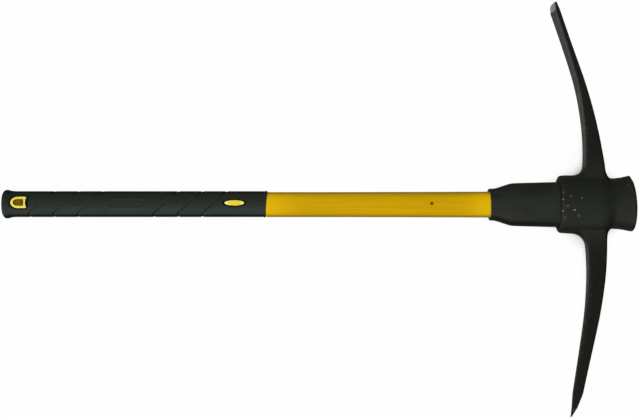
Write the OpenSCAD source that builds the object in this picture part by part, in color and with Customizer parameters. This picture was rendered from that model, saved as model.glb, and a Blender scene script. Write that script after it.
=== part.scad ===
// Chisel-and-point pick axe with a slip-on forged head and a moulded fibreglass handle.
// The tool lies flat: +X runs up the handle to the crown of the head, +Y to the chisel edge,
// +Z is up. The origin is under the middle of the tool, on the surface that it lies on.

/* [Handle] */
// Length of the tool from the butt to the crown of the head
overall_len = 900; // [760:1:1000]
// Diameter of the fibreglass core rod
core_dia = 22; // [14:0.5:25]
// Width of the jacketed shaft
shaft_w = 35.8; // [33:0.1:40]
// Depth of the jacketed shaft
shaft_d = 32; // [30:0.1:36]
// Width of the jacket's neck under the grip
neck_w = 29; // [27.5:0.1:31]
// Depth of the jacket's neck under the grip
neck_d = 27; // [26:0.1:29]
// Distance of the handle's end below the crown face
crown_recess = 2; // [0.5:0.1:8]
// Diameter of the moulding pin hole in the front of the jacket
jacket_pin_dia = 4; // [2:0.1:8]
// Distance of that hole from the crown
jacket_pin_x = 289; // [240:0.5:340]

/* [Grip] */
// Length of the rubber grip with its end bead
grip_len = 375; // [330:1:450]
// Width of the grip
grip_w = 36.8; // [34:0.1:44]
// Depth of the grip
grip_d = 33.4; // [31:0.1:40]
// Width of the end bead
bead_w = 41; // [37:0.1:50]
// Depth of the end bead
bead_d = 37; // [35:0.1:46]
// Length of the end bead
bead_len = 14; // [10:0.5:24]
// Length of the rounded edge at the butt
butt_round = 5; // [2:0.1:8]
// Width of the flat on the butt
butt_flat = 20; // [10:0.5:30]
// Height of the lip at the mouth of the grip
lip_rise = 0.5; // [0.2:0.05:1.5]
// Length of the lip at the mouth of the grip
lip_len = 2; // [1:0.1:5]
// Distance between neighbouring slanting grooves
groove_pitch = 34.5; // [28:0.1:40]
// Number of grooves in each of the two groups
groove_count = 3; // [1:1:3]
// Width of a groove
groove_w = 2; // [1:0.1:4]
// Depth of a groove
groove_depth = 1.2; // [0.5:0.1:2]
// Angle of a groove across the handle
groove_lean = 43.5; // [20:0.5:55]
// Angle by which a groove's front is nearer the butt
groove_tilt = 7; // [0:0.5:15]
// Distance of the first group's middle from the butt
butt_group_x = 90; // [84:0.5:110]
// Distance of the second group's middle from the mouth of the grip
mouth_group_x = 108; // [90:0.5:120]

/* [Grip trim] */
// Distance of the front trim above the middle line of the grip
trim_rise = 2.1; // [0:0.1:3]
// Length of the shallow bare panel
panel_len = 51; // [30:0.5:60]
// Width of the shallow bare panel
panel_w = 11.3; // [6:0.1:16]
// Depth of the shallow bare panel
panel_depth = 0.6; // [0.3:0.1:1.2]
// Distance of the panel's middle from the butt
panel_x = 179; // [170:0.5:195]
// Length of the oval inlay
inlay_len = 29.7; // [20:0.1:40]
// Width of the oval inlay
inlay_w = 8.4; // [6:0.1:14]
// Thickness of the oval inlay
inlay_t = 2; // [1:0.1:2.4]
// Distance of the inlay's middle from the mouth of the grip
inlay_x = 44; // [30:0.5:45]
// Diameter of the small moulding dimple in the grip
grip_pin_dia = 3; // [1.5:0.1:5]
// Depth of that dimple
grip_pin_depth = 1.5; // [0.5:0.1:2]
// Distance of that dimple from the butt
grip_pin_x = 105.5; // [102:0.5:112]

/* [Hang hole] */
// Length of the eyelet that lines the hang hole
eyelet_len = 22.8; // [18:0.1:28]
// Width of the eyelet
eyelet_w = 16.5; // [13:0.1:20]
// Depth of the hollow in the eyelet's flat end
eyelet_hollow = 1.9; // [0.5:0.1:3]
// Distance of the eyelet's nose from the butt
eyelet_x = 12.6; // [7:0.1:14]
// Length of the hang hole
hang_len = 13.5; // [9:0.1:16]
// Width of the hang hole
hang_w = 8; // [5:0.1:10]
// Distance of the hang hole's nose from the eyelet's nose
hang_x = 5; // [3:0.1:7]
// Distance from the eyelet to the end of the jacket
eyelet_to_jacket = 6; // [3:0.1:15]
// Thickness of the jacket's closed end
jacket_end_t = 4; // [2:0.1:10]

/* [Eye sleeve] */
// Length of the sleeve that shows below the head
sleeve_show_len = 97.5; // [80:0.5:140]
// Width of the sleeve's mouth
mouth_w = 46.2; // [42:0.1:52]
// Depth of the sleeve's mouth
mouth_d = 39.4; // [37:0.1:40]
// Length of the straight lip at the mouth
mouth_len = 8; // [3:0.5:14]
// Length of the flare behind the lip
flare_len = 23; // [15:0.5:40]
// Width of the sleeve at the end of the flare
flare_w = 61; // [54:0.1:62]
// Depth of the sleeve at the end of the flare
flare_d = 39.8; // [38:0.1:40.2]
// Rounding of the mouth's outer edge
mouth_round = 1.5; // [0.5:0.1:2.5]

/* [Eye] */
// Length of the eye barrel along the handle
eye_len = 108; // [95:1:125]
// Width of the eye's opening at its lower rim
eye_w = 65.4; // [63:0.1:66]
// Depth of the eye's opening at its lower rim
eye_d = 41; // [40.8:0.1:43]
// Growth of the opening on each side towards the crown
eye_taper = 0.7; // [0.3:0.1:1.2]
// Gap between the eye and the sleeve
fit_gap = 0.3; // [0.2:0.05:0.5]
// Chamfer round both ends of the opening
eye_chamfer = 1; // [0.5:0.1:2]
// Width of the barrel at its lower rim
rim_w = 82.2; // [78:0.1:90]
// Depth of the barrel at its lower rim
rim_d = 53; // [51:0.1:60]
// Length of the rounded outer edge of the lower rim
rim_round = 4.5; // [1:0.1:6]
// Width of the barrel at the cheeks
cheek_w = 83.8; // [80:0.1:92]
// Depth of the barrel at the cheeks
cheek_d = 54; // [52:0.1:62]
// Width of the waist between the arms and the crown
waist_w = 73.4; // [72.4:0.1:78]
// Depth of the waist
waist_d = 49; // [48:0.1:52]
// Distance of the waist's middle from the crown
waist_x = 30; // [20:0.5:34]
// Width of the crown lip
crown_w = 79.8; // [76:0.1:88]
// Depth of the crown lip
crown_d = 53.6; // [50:0.1:60]
// Rounding of the crown lip's outer edge
crown_round = 3.2; // [1:0.1:4]

/* [Chisel arm] */
// Distance of the chisel edge from the handle axis
chisel_reach = 287; // [240:1:330]
// Distance of the arm's root from the crown
chisel_root_x = 55.8; // [50:0.1:60]
// Thickness of the arm at its root
chisel_root_t = 32.2; // [24:0.1:36]
// Thickness of the blade behind the ground bevel
chisel_end_t = 6; // [3:0.1:10]
// Depth of the arm at its root
chisel_root_d = 22; // [16:0.1:28]
// Width of the chisel edge
chisel_edge_w = 37; // [28:0.1:50]
// Distance from the handle axis at which the arm starts to bend
chisel_bend_y = 24; // [10:1:60]
// Radius of the arm's bend
chisel_bend_r = 560; // [400:5:900]
// Angle through which the arm bends
chisel_bend_angle = 19; // [8:0.1:20]
// Length of the ground bevel
chisel_bevel_len = 11; // [6:0.5:24]
// Thickness left at the chisel edge
chisel_edge_t = 1; // [0.5:0.1:2]
// Fillet between the arm and the barrel on the grip side
chisel_fillet = 14; // [5:0.5:18]
// Fillet between the arm and the barrel on the crown side
chisel_crown_fillet = 18; // [3:0.5:22]

/* [Point arm] */
// Distance of the point from the handle axis
point_reach = 304; // [250:1:350]
// Distance of the arm's root from the crown
point_root_x = 51.6; // [46:0.1:58]
// Thickness of the arm at its root
point_root_t = 29.5; // [18:0.1:32]
// Thickness of the arm where the ground point starts
point_end_t = 12.2; // [7:0.1:15]
// Depth of the arm at its root
point_root_d = 22.8; // [16:0.1:28]
// Depth of the arm where the ground point starts
point_end_d = 10.2; // [7:0.1:14]
// Distance from the handle axis at which the arm starts to bend
point_bend_y = 66; // [30:1:90]
// Radius of the arm's bend
point_bend_r = 630; // [450:5:1000]
// Angle through which the arm bends
point_bend_angle = 10.5; // [4:0.1:12]
// Length of the ground point
point_grind_len = 34; // [20:0.5:60]
// Width left at the tip of the point
point_tip_t = 2.4; // [0.8:0.1:3]
// Fillet between the arm and the barrel on the grip side
point_fillet = 22; // [6:0.5:24]
// Fillet between the arm and the barrel on the crown side
point_crown_fillet = 10; // [3:0.5:16]

/* [Hidden] */

// Fillet between the arms and the cheeks
cheek_fillet = 6;
// Length by which cuts run past the faces that they open
overrun = 4;
// Gap round the oval inlay
inlay_gap = 0.2;

// Roundness of the handle's and the head's oval sections: 1 is an ellipse, less is fuller
handle_oval_share = 0.8;
head_oval_share = 1;
// Corner radius of an arm's section, as a share of its thinner side
corner_share = 0.16;
// Fall of an arm's thickness along its length: 1 is straight, more is hollow
chisel_taper_share = 2.1;
point_taper_share = 1.2;
// Place where the cheeks start to fall to the waist, as a share of the chisel arm's root towards the crown
cheek_end_share = 0.37;
// Rise of the crown lip out of the waist: 1 is straight, more is a later flare
crown_flare_share = 2;
// Place of the pick's tip between the arm's middle, 0, and its inner face, -0.5
point_tip_share = -0.26;
// Place of the chisel edge between the blade's middle, 0, and its outer face, 0.5
chisel_edge_share = 0.1;
// Part of the rim's wall that its outer edge rounds off
rim_round_share = 0.7;

// Sides of an oval section, points on a corner of an arm's section, and steps of the lofts
oval_sides = 56;
corner_steps = 4;
arm_steps = 15;
fillet_steps = 6;
round_steps = 5;
swell_steps = 6;
$fn = 64;

// Places along the handle, from the crown at zero down to the butt
handle_end_x = -crown_recess;
rim_x = -eye_len;
mouth_x = rim_x - sleeve_show_len;
butt_x = -overall_len;
grip_mouth_x = butt_x + grip_len;
eyelet_end_x = butt_x + eyelet_x + eyelet_len;
jacket_end_x = eyelet_end_x + eyelet_to_jacket;
core_end_x = jacket_end_x + jacket_end_t;

// Place of the handle axis in the part's frame
axis_x = overall_len / 2;
axis_y = (point_reach - chisel_reach) / 2;
axis_z = cheek_d / 2;

// Eased step from 0 to 1
function ease(t) = (1 - cos(180 * t)) / 2;
function blend(a, b, t) = a + (b - a) * t;
function steps(n) = [for (i = [0:n]) i / n];

// One oval section across the handle at x, drawn counter-clockwise as seen from the crown
function fuller(c, share) = sign(c) * pow(abs(c), share);
function oval(w, d, share = handle_oval_share) = [for (i = [0:oval_sides - 1])
    let (a = 360 * i / oval_sides) [w / 2 * fuller(cos(a), share), d / 2 * fuller(sin(a), share)]];
function oval_ring(x, size, share = handle_oval_share) =
    [for (p = oval(size[0], size[1], share)) [x, p[0], p[1]]];
function head_ring(x, size) = oval_ring(x, size, head_oval_share);

// Closed skin through rings of equally many points
module skin(rings) {
    n = len(rings[0]);
    last = len(rings) - 1;
    sides = [for (k = [0:last - 1], i = [0:n - 1])
        let (j = (i + 1) % n, a = k * n + i, b = k * n + j) each
        [[a, a + n, b + n], [a, b + n, b]]];
    ends = [[for (i = [0:n - 1]) i], [for (i = [n - 1:-1:0]) last * n + i]];
    polyhedron(points = [for (r = rings) each r], faces = concat(sides, ends));
}

// Straight bar of oval section from x0 to x1
module oval_bar(x0, x1, w, d)
    translate([x0, 0, 0]) rotate([90, 0, 90]) linear_extrude(x1 - x0) polygon(oval(w, d));

// Everything is modelled on the handle axis with the crown at zero, then put in the part's frame
module in_place() translate([axis_x, axis_y, axis_z]) children();

// Size of the eye's opening at x, and of the sleeve that fits in it
function eye_size(x, gap) = let (grow = 2 * eye_taper * (x - rim_x) / eye_len - 2 * gap)
    [eye_w + grow, eye_d + grow];

module eye_opening() {
    c = 2 * eye_chamfer;
    wide = [c, c];
    skin([oval_ring(rim_x - overrun, eye_size(rim_x, 0) + wide * (1 + overrun / eye_chamfer)),
          oval_ring(rim_x, eye_size(rim_x, 0) + wide),
          oval_ring(rim_x + eye_chamfer, eye_size(rim_x + eye_chamfer, 0)),
          oval_ring(-eye_chamfer, eye_size(-eye_chamfer, 0)),
          oval_ring(0, eye_size(0, 0) + wide),
          oval_ring(overrun, eye_size(0, 0) + wide * (1 + overrun / eye_chamfer))]);
}

// Outer form of the barrel: rounded rim, full cheeks, waist and rounded crown lip
module barrel() {
    rim = [rim_w, rim_d];
    rim_drop = rim_round_share * (rim - eye_size(rim_x, 0));
    cheek = [cheek_w, cheek_d];
    waist = [waist_w, waist_d];
    crown = [crown_w, crown_d];
    cheek_x0 = rim_x + rim_round + eye_len / 6;
    cheek_x1 = -chisel_root_x + cheek_end_share * chisel_root_t;
    skin(concat(
        [for (t = steps(round_steps)) head_ring(rim_x + rim_round * (1 - cos(90 * t)),
            rim - rim_drop * (1 - sin(90 * t)))],
        [for (t = [1, 2]) head_ring(blend(rim_x + rim_round, cheek_x0, t / 2),
            blend(rim, cheek, ease(t / 2)))],
        [for (t = steps(swell_steps)) head_ring(blend(cheek_x1, -waist_x, t),
            blend(cheek, waist, ease(t)))],
        [for (t = [1:swell_steps - 1]) head_ring(blend(-waist_x, -crown_round, t / swell_steps),
            blend(waist, crown, pow(t / swell_steps, crown_flare_share)))],
        [for (t = steps(round_steps)) head_ring(-crown_round * (1 - sin(90 * t)),
            crown - 2 * crown_round * (1 - cos(90 * t)) * [1, 1])]));
}

// Rounded bar section across an arm, level at y: x from x0 to x1, depth d about the middle
function arm_ring(y, x0, x1, d) = let (r = corner_share * min(x1 - x0, d))
    [for (q = [0:3], s = [0:corner_steps])
        let (a = 90 * (q + s / corner_steps),
             mz = (q == 0 || q == 3 ? 1 : -1) * (d / 2 - r),
             mx = q < 2 ? x1 - r : x0 + r)
        [mx + r * sin(a), y, mz + r * cos(a)]];

// Middle line of an arm that starts straight, bends with one radius and ends straight
function lean(y, bend_y, bend_r, bend_angle) =
    y < bend_y ? 0 : min(bend_angle, asin(min(1, (y - bend_y) / bend_r)));
function arm_x(y, bend_y, bend_r, bend_angle) =
    let (a = lean(y, bend_y, bend_r, bend_angle),
         straight = max(0, y - bend_y - bend_r * sin(bend_angle)))
    -bend_r * (1 - cos(a)) - straight * tan(bend_angle);

// Growth of a fillet of radius r at height y above its foot
function flare(y, foot, r) = let (h = max(0, min(r, foot + r - y))) r - sqrt(r * r - h * h);

// Heights of an arm's sections: close together in the fillet, then evenly to the ground end
function arm_levels(foot, r, end) = concat([eye_w / 4],
    [for (t = steps(fillet_steps)) foot + r * (1 - cos(90 * t))],
    [for (t = [1:arm_steps]) blend(foot + r, end, t / arm_steps)]);

// Section of an arm with its fillets to the barrel on the grip side, the crown side and the cheeks
function rooted_ring(y, x, t, d, fillet, crown_fillet) = arm_ring(y,
    x - t / 2 - flare(y, cheek_w / 2, fillet),
    x + t / 2 + flare(y, waist_w / 2, crown_fillet),
    d + 2 * flare(y, waist_w / 2, cheek_fillet));

// Arm that widens to a ground chisel edge
module chisel_arm() {
    end = chisel_reach - chisel_bevel_len;
    root = cheek_w / 2;
    function x_at(y) = -chisel_root_x + arm_x(y, chisel_bend_y, chisel_bend_r, chisel_bend_angle);
    function share(y) = max(0, min(1, (y - root) / (end - root)));
    function t_at(y) = blend(chisel_end_t, chisel_root_t, pow(1 - share(y), chisel_taper_share));
    function d_at(y) = blend(chisel_root_d, chisel_edge_w, max(0, (y - root) / (chisel_reach - root)));
    edge_x = x_at(chisel_reach) + chisel_edge_share * chisel_end_t;
    skin(concat(
        [for (y = arm_levels(root, chisel_fillet, end))
            rooted_ring(y, x_at(y), t_at(y), d_at(y), chisel_fillet, chisel_crown_fillet)],
        [arm_ring(chisel_reach, edge_x - chisel_edge_t / 2, edge_x + chisel_edge_t / 2, chisel_edge_w)]));
}

// Arm of square section that narrows to a ground point
module point_arm() {
    end = point_reach - point_grind_len;
    root = cheek_w / 2;
    function x_at(y) = -point_root_x + arm_x(y, point_bend_y, point_bend_r, point_bend_angle);
    function share(y) = max(0, min(1, (y - root) / (end - root)));
    tip_x = x_at(point_reach) + point_tip_share * point_end_t;
    function t_at(y) = blend(point_end_t, point_root_t, pow(1 - share(y), point_taper_share));
    function d_at(y) = blend(point_root_d, point_end_d, share(y));
    mirror([0, 1, 0]) skin(concat(
        [for (y = arm_levels(root, point_fillet, end))
            rooted_ring(y, x_at(y), t_at(y), d_at(y), point_fillet, point_crown_fillet)],
        [arm_ring(point_reach, tip_x - point_tip_t / 2, tip_x + point_tip_t / 2, point_tip_t)]));
}

module pick_head() color([0.16, 0.17, 0.15]) in_place() difference() {
    union() {
        barrel();
        chisel_arm();
        point_arm();
    }
    eye_opening();
}

// Moulded collar that flares from the shaft to the tapered swell in the eye
module eye_sleeve() color([0.14, 0.15, 0.13]) in_place() difference() {
    mouth = [mouth_w, mouth_d];
    flare_x = mouth_x + mouth_len + flare_len;
    skin(concat(
        [for (t = steps(round_steps)) oval_ring(mouth_x + mouth_round * (1 - cos(90 * t)),
            mouth - 2 * mouth_round * (1 - sin(90 * t)) * [1, 1])],
        [oval_ring(mouth_x + mouth_len, mouth),
         oval_ring(flare_x, [flare_w, flare_d]),
         oval_ring(rim_x, eye_size(rim_x, fit_gap)),
         oval_ring(handle_end_x, eye_size(handle_end_x, fit_gap))]));
    oval_bar(mouth_x - overrun, handle_end_x + overrun, shaft_w, shaft_d);
}

// Moulded jacket: full section on the shaft and in the sleeve, a neck under the grip
module shaft_jacket() color([0.82, 0.64, 0.05]) in_place() difference() {
    union() {
        oval_bar(grip_mouth_x, handle_end_x, shaft_w, shaft_d);
        oval_bar(jacket_end_x, grip_mouth_x, neck_w, neck_d);
    }
    translate([core_end_x, 0, 0]) rotate([0, 90, 0]) cylinder(h = overall_len, d = core_dia);
    translate([-jacket_pin_x, 0, 0]) cylinder(h = shaft_d, d = jacket_pin_dia);
}

module fibreglass_core() color([0.78, 0.74, 0.6]) in_place()
    translate([core_end_x, 0, 0]) rotate([0, 90, 0]) cylinder(h = handle_end_x - core_end_x, d = core_dia);

// Outer form of the grip: crowned butt, end bead, straight body and mouth lip
module grip_form() {
    body = [grip_w, grip_d];
    bead = [bead_w, bead_d];
    flat = [butt_flat, butt_flat * bead_d / bead_w];
    skin(concat(
        [for (t = steps(round_steps)) oval_ring(butt_x + butt_round * (1 - cos(90 * t)),
            blend(flat, bead, sin(90 * t)))],
        [for (t = [1:swell_steps]) oval_ring(blend(butt_x + butt_round, butt_x + bead_len, t / swell_steps),
            blend(bead, body, ease(t / swell_steps)))],
        [oval_ring(grip_mouth_x - overrun, body)]));
    oval_bar(grip_mouth_x - 2 * overrun, grip_mouth_x, grip_w, grip_d);
    oval_bar(grip_mouth_x - lip_len, grip_mouth_x, grip_w + 2 * lip_rise, grip_d + 2 * lip_rise);
}

// Everything in a column over the grip that lies less than depth below its skin
module skin_deep(depth) difference() {
    children();
    oval_bar(butt_x - overrun, grip_mouth_x + overrun, grip_w - 2 * depth, grip_d - 2 * depth);
}

// Slanting ring grooves in two groups
module grooves() for (middle = [butt_group_x, grip_len - mouth_group_x], i = [0:groove_count - 1])
    skin_deep(groove_depth)
        translate([butt_x + middle + (i - (groove_count - 1) / 2) * groove_pitch, 0, 0])
            rotate([0, 0, -groove_lean]) rotate([0, -groove_tilt, 0])
                cube([groove_w, 3 * grip_w, 3 * grip_d], center = true);

module panel_outline() {
    square([panel_len - panel_w, panel_w], center = true);
    for (side = [-1, 1]) translate([side * (panel_len - panel_w) / 2, 0]) circle(d = panel_w);
}

module inlay_outline(gap) polygon(oval(inlay_len + 2 * gap, inlay_w + 2 * gap));

// Outline with a round nose towards the butt and a hollow or flat far end
module bullet(length, width, hollow) difference() {
    union() {
        translate([width / 2, 0]) circle(d = width);
        translate([width / 2, -width / 2]) square([length - width / 2, width]);
    }
    if (hollow > 0) {
        r = (width * width / 4 + hollow * hollow) / (2 * hollow);
        translate([length - hollow + r, 0]) circle(r = r);
    }
}

// Puts a flat outline on the front of the grip at x from the butt, as a column through the handle
module through_grip(x) translate([butt_x + x, trim_rise, -bead_d]) linear_extrude(2 * bead_d) children();

// The same column, from the middle plane upwards only
module into_front(x) translate([butt_x + x, trim_rise, 0]) linear_extrude(bead_d) children();

module rubber_grip() color([0.17, 0.19, 0.17]) in_place() difference() {
    grip_form();
    oval_bar(jacket_end_x, grip_mouth_x + overrun, neck_w, neck_d);
    grooves();
    skin_deep(panel_depth) into_front(panel_x) panel_outline();
    skin_deep(grip_pin_depth) into_front(grip_pin_x) circle(d = grip_pin_dia);
    skin_deep(inlay_t) into_front(grip_len - inlay_x) inlay_outline(inlay_gap);
    through_grip(eyelet_x) bullet(eyelet_len, eyelet_w, eyelet_hollow);
}

// Eyelet flush with the grip on both faces, with the hang hole through it
module hang_hole_insert() color([0.92, 0.83, 0.2]) in_place() difference() {
    intersection() {
        through_grip(eyelet_x) bullet(eyelet_len, eyelet_w, eyelet_hollow);
        oval_bar(butt_x, grip_mouth_x, grip_w, grip_d);
    }
    through_grip(eyelet_x + hang_x) bullet(hang_len, hang_w, 0);
}

// Oval set flush into the front of the grip
module grip_inlay() color([0.92, 0.82, 0.18]) in_place() intersection() {
    skin_deep(inlay_t) into_front(grip_len - inlay_x) inlay_outline(0);
    oval_bar(butt_x, grip_mouth_x, grip_w, grip_d);
}

pick_head();
eye_sleeve();
shaft_jacket();
fibreglass_core();
rubber_grip();
hang_hole_insert();
grip_inlay();
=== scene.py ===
import math

import bmesh
import bpy
from bpy.props import FloatProperty, FloatVectorProperty, IntProperty, PointerProperty
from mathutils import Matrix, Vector


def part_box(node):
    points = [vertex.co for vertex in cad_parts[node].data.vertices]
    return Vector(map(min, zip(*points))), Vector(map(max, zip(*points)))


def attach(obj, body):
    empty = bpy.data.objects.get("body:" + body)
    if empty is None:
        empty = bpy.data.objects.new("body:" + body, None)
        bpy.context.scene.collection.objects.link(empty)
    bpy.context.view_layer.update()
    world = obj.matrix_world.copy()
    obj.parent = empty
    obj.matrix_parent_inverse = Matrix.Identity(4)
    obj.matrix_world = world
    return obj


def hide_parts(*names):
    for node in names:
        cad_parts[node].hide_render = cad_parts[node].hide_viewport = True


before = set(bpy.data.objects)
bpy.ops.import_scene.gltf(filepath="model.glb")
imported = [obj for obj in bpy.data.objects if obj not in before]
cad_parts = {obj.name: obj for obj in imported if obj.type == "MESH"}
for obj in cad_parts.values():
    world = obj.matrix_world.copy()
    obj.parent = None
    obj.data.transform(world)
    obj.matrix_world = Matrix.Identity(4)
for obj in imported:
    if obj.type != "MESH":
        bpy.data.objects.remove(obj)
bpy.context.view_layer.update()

bl_info = {
    "name": "Pick axe",
    "version": (1, 0, 0),
    "blender": (4, 5, 0),
    "location": "3D View > Sidebar > Pick axe",
    "description": "Models and finishes the pieces of a chisel-and-point pick axe",
    "category": "Add Mesh",
}

MM = 0.001

# Places that the solids give: the handle lies along X, the crown of the head is at the high end
core_low, core_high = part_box("fibreglass_core")
head_low, head_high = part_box("pick_head")
sleeve_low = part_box("eye_sleeve")[0]
jacket_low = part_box("shaft_jacket")[0]
grip_low, grip_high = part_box("rubber_grip")
eyelet_low, eyelet_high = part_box("hang_hole_insert")
inlay_low, inlay_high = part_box("grip_inlay")

AXIS_Y = (core_low.y + core_high.y) / 2
AXIS_Z = (core_low.z + core_high.z) / 2
CROWN_X = head_high.x
HANDLE_END_X = core_high.x
SLEEVE_MOUTH_X = sleeve_low.x
GRIP_MOUTH_X = grip_high.x
BUTT_X = grip_low.x
GRIP_LEN = GRIP_MOUTH_X - BUTT_X
TRIM_Y = (eyelet_low.y + eyelet_high.y) / 2
CHISEL_REACH = head_high.y - AXIS_Y
POINT_REACH = AXIS_Y - head_low.y

# Shares of a bar's half section at which the vertices of an arm's ring stand
BAR_SHARES = (-1.0, -0.84, -0.5, 0.0, 0.5, 0.84, 1.0)
# Columns of the barrel's rings, and the columns and rows that an arm's root takes up
BARREL_SIDES = 32
ROOT_SPAN = len(BAR_SHARES) - 1


def length(name, description, default):
    """A size in metres that the panel shows in the scene's units."""
    return FloatProperty(name=name, description=description, default=default, unit="LENGTH", precision=4)


def share(name, description, default):
    """A plain ratio."""
    return FloatProperty(name=name, description=description, default=default, subtype="FACTOR")


def turn(name, description, degrees):
    """An angle, given in degrees and kept in radians."""
    return FloatProperty(name=name, description=description, default=math.radians(degrees), subtype="ANGLE")


def colour(name, description, default):
    """A linear colour."""
    return FloatVectorProperty(name=name, description=description, default=default, subtype="COLOR",
                               size=3, min=0.0, max=1.0)


class EyeSizes(bpy.types.PropertyGroup):
    """Sizes of the barrel round the eye of the head."""

    length: length("Length", "Length of the barrel along the handle", 108 * MM)
    open_w: length("Opening width", "Width of the opening at the lower rim", 65.4 * MM)
    open_d: length("Opening depth", "Depth of the opening at the lower rim", 41 * MM)
    open_taper: length("Opening taper", "Growth of the opening on each side towards the crown", 0.7 * MM)
    chamfer: length("Chamfer", "Chamfer round both ends of the opening", 1 * MM)
    rim_w: length("Rim width", "Width of the barrel at its lower rim", 82.4 * MM)
    rim_d: length("Rim depth", "Depth of the barrel at its lower rim", 53 * MM)
    rim_shift: length("Rim shift", "Offset of the rim towards the chisel", 0.4 * MM)
    rim_round: length("Rim rounding", "Length of the rim's rounded outer edge", 4.5 * MM)
    rim_round_share: share("Rim rounding share", "Part of the rim's wall that is rounded off", 0.7)
    cheek_w: length("Cheek width", "Width of the barrel at the cheeks", 83.4 * MM)
    cheek_d: length("Cheek depth", "Depth of the barrel at the cheeks", 53.6 * MM)
    cheek_end: length("Cheek end", "Distance from the crown at which the cheeks start to fall", 43.9 * MM)
    waist_w: length("Waist width", "Width of the waist", 72 * MM)
    waist_d: length("Waist depth", "Depth of the waist", 49 * MM)
    waist_at: length("Waist place", "Distance of the waist from the crown", 35 * MM)
    crown_w: length("Crown width", "Width of the crown lip", 80.2 * MM)
    crown_d: length("Crown depth", "Depth of the crown lip", 53.6 * MM)
    crown_round: length("Crown rounding", "Rounding of the crown lip's outer edge", 3.2 * MM)
    root_low: length("Root start", "Distance from the crown of the grip side of the arms' fillets", 87.5 * MM)
    root_high: length("Root end", "Distance from the crown of the crown side of the arms' fillets", 30.5 * MM)
    crown_lean: share("Crown lean", "How far the crown falls back towards the chisel side", 0.04)
    crown_bow: length("Crown bow", "How far the crown falls back at both sides", 0.6 * MM)
    crown_wear: length("Crown wear", "How far the crown is worn back at the front of the chisel side", 9 * MM)
    crown_set: length("Crown set", "How far the crown's outside lies behind its middle", 0.7 * MM)
    crown_shift: length("Crown shift", "Offset of waist and crown towards the chisel", 1.45 * MM)


class ChiselArmSizes(bpy.types.PropertyGroup):
    """Sizes of the arm that ends in a chisel edge."""

    root_at: length("Root place", "Distance of the root from the crown", 55.2 * MM)
    root_t: length("Root thickness", "Thickness at the root", 32 * MM)
    root_d: length("Root depth", "Depth at the root", 22 * MM)
    end_t: length("End thickness", "Thickness where the ground end starts", 6.4 * MM)
    end_d: length("End depth", "Depth where the ground end starts", 36.3 * MM)
    taper: share("Taper", "Fall of the thickness: 1 is straight, more is hollow", 2.1)
    bend_from: length("Bend start", "Distance from the handle axis at which the arm bends", 24 * MM)
    bend_radius: length("Bend radius", "Radius of the bend", 535 * MM)
    bend_angle: turn("Bend angle", "Angle of the bend", 19)
    ground_len: length("Ground length", "Length of the ground end", 11 * MM)
    tip_t: length("Tip thickness", "Thickness left at the edge", 2.1 * MM)
    tip_d: length("Tip depth", "Width of the edge", 37 * MM)
    tip_share: share("Tip place", "Place of the edge between the blade's middle and its outer face", 0.1)
    tip_worn: length("Worn corner", "How far the edge's back corner is worn down", 2.6 * MM)
    tip_full: share("Tip fullness", "How far the ground end bulges on its way to the edge", 0.0)
    root_lean: share("Root lean", "How far the root leans towards the grip", 0.0)
    fillet: length("Fillet", "Height of the fillet on the grip side", 14 * MM)
    crown_fillet: length("Crown fillet", "Height of the fillet on the crown side", 26 * MM)


class PointArmSizes(bpy.types.PropertyGroup):
    """Sizes of the arm that ends in a point."""

    root_at: length("Root place", "Distance of the root from the crown", 51.6 * MM)
    root_t: length("Root thickness", "Thickness at the root", 29.9 * MM)
    root_d: length("Root depth", "Depth at the root", 22.8 * MM)
    end_t: length("End thickness", "Thickness where the ground end starts", 13.8 * MM)
    end_d: length("End depth", "Depth where the ground end starts", 10.2 * MM)
    taper: share("Taper", "Fall of the thickness: 1 is straight, more is hollow", 1.2)
    bend_from: length("Bend start", "Distance from the handle axis at which the arm bends", 66 * MM)
    bend_radius: length("Bend radius", "Radius of the bend", 630 * MM)
    bend_angle: turn("Bend angle", "Angle of the bend", 10.5)
    ground_len: length("Ground length", "Length of the ground end", 34 * MM)
    tip_t: length("Tip thickness", "Thickness left at the tip", 1.4 * MM)
    tip_d: length("Tip depth", "Depth left at the tip", 1.6 * MM)
    tip_share: share("Tip place", "Place of the tip between the arm's middle and its outer face", -0.25)
    tip_worn: length("Worn corner", "How far the tip's back is worn down", 0.0)
    tip_full: share("Tip fullness", "How far the ground end bulges on its way to the tip", 0.12)
    root_lean: share("Root lean", "How far the root leans towards the grip", 0.026)
    fillet: length("Fillet", "Height of the fillet on the grip side", 22 * MM)
    crown_fillet: length("Crown fillet", "Height of the fillet on the crown side", 15 * MM)


class SleeveSizes(bpy.types.PropertyGroup):
    """Sizes of the moulded sleeve between shaft and eye."""

    mouth_w: length("Mouth width", "Width at the mouth", 45.9 * MM)
    mouth_d: length("Mouth depth", "Depth at the mouth", 39.4 * MM)
    mouth_len: length("Mouth length", "Length of the straight lip", 8 * MM)
    mouth_round: length("Mouth rounding", "Rounding of the mouth's outer edge", 1.5 * MM)
    mouth_lean: share("Mouth lean", "How far the mouth leans back on the chisel side", 0.03)
    mouth_set: length("Mouth set", "How far the sleeve runs out over the shaft", 0.4 * MM)
    flare_w: length("Flare width", "Width at the end of the flare", 61.4 * MM)
    flare_d: length("Flare depth", "Depth at the end of the flare", 39.8 * MM)
    flare_len: length("Flare length", "Length of the flare", 23 * MM)
    fit_gap: length("Fit gap", "Gap between the sleeve and the eye", 0.3 * MM)


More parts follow.
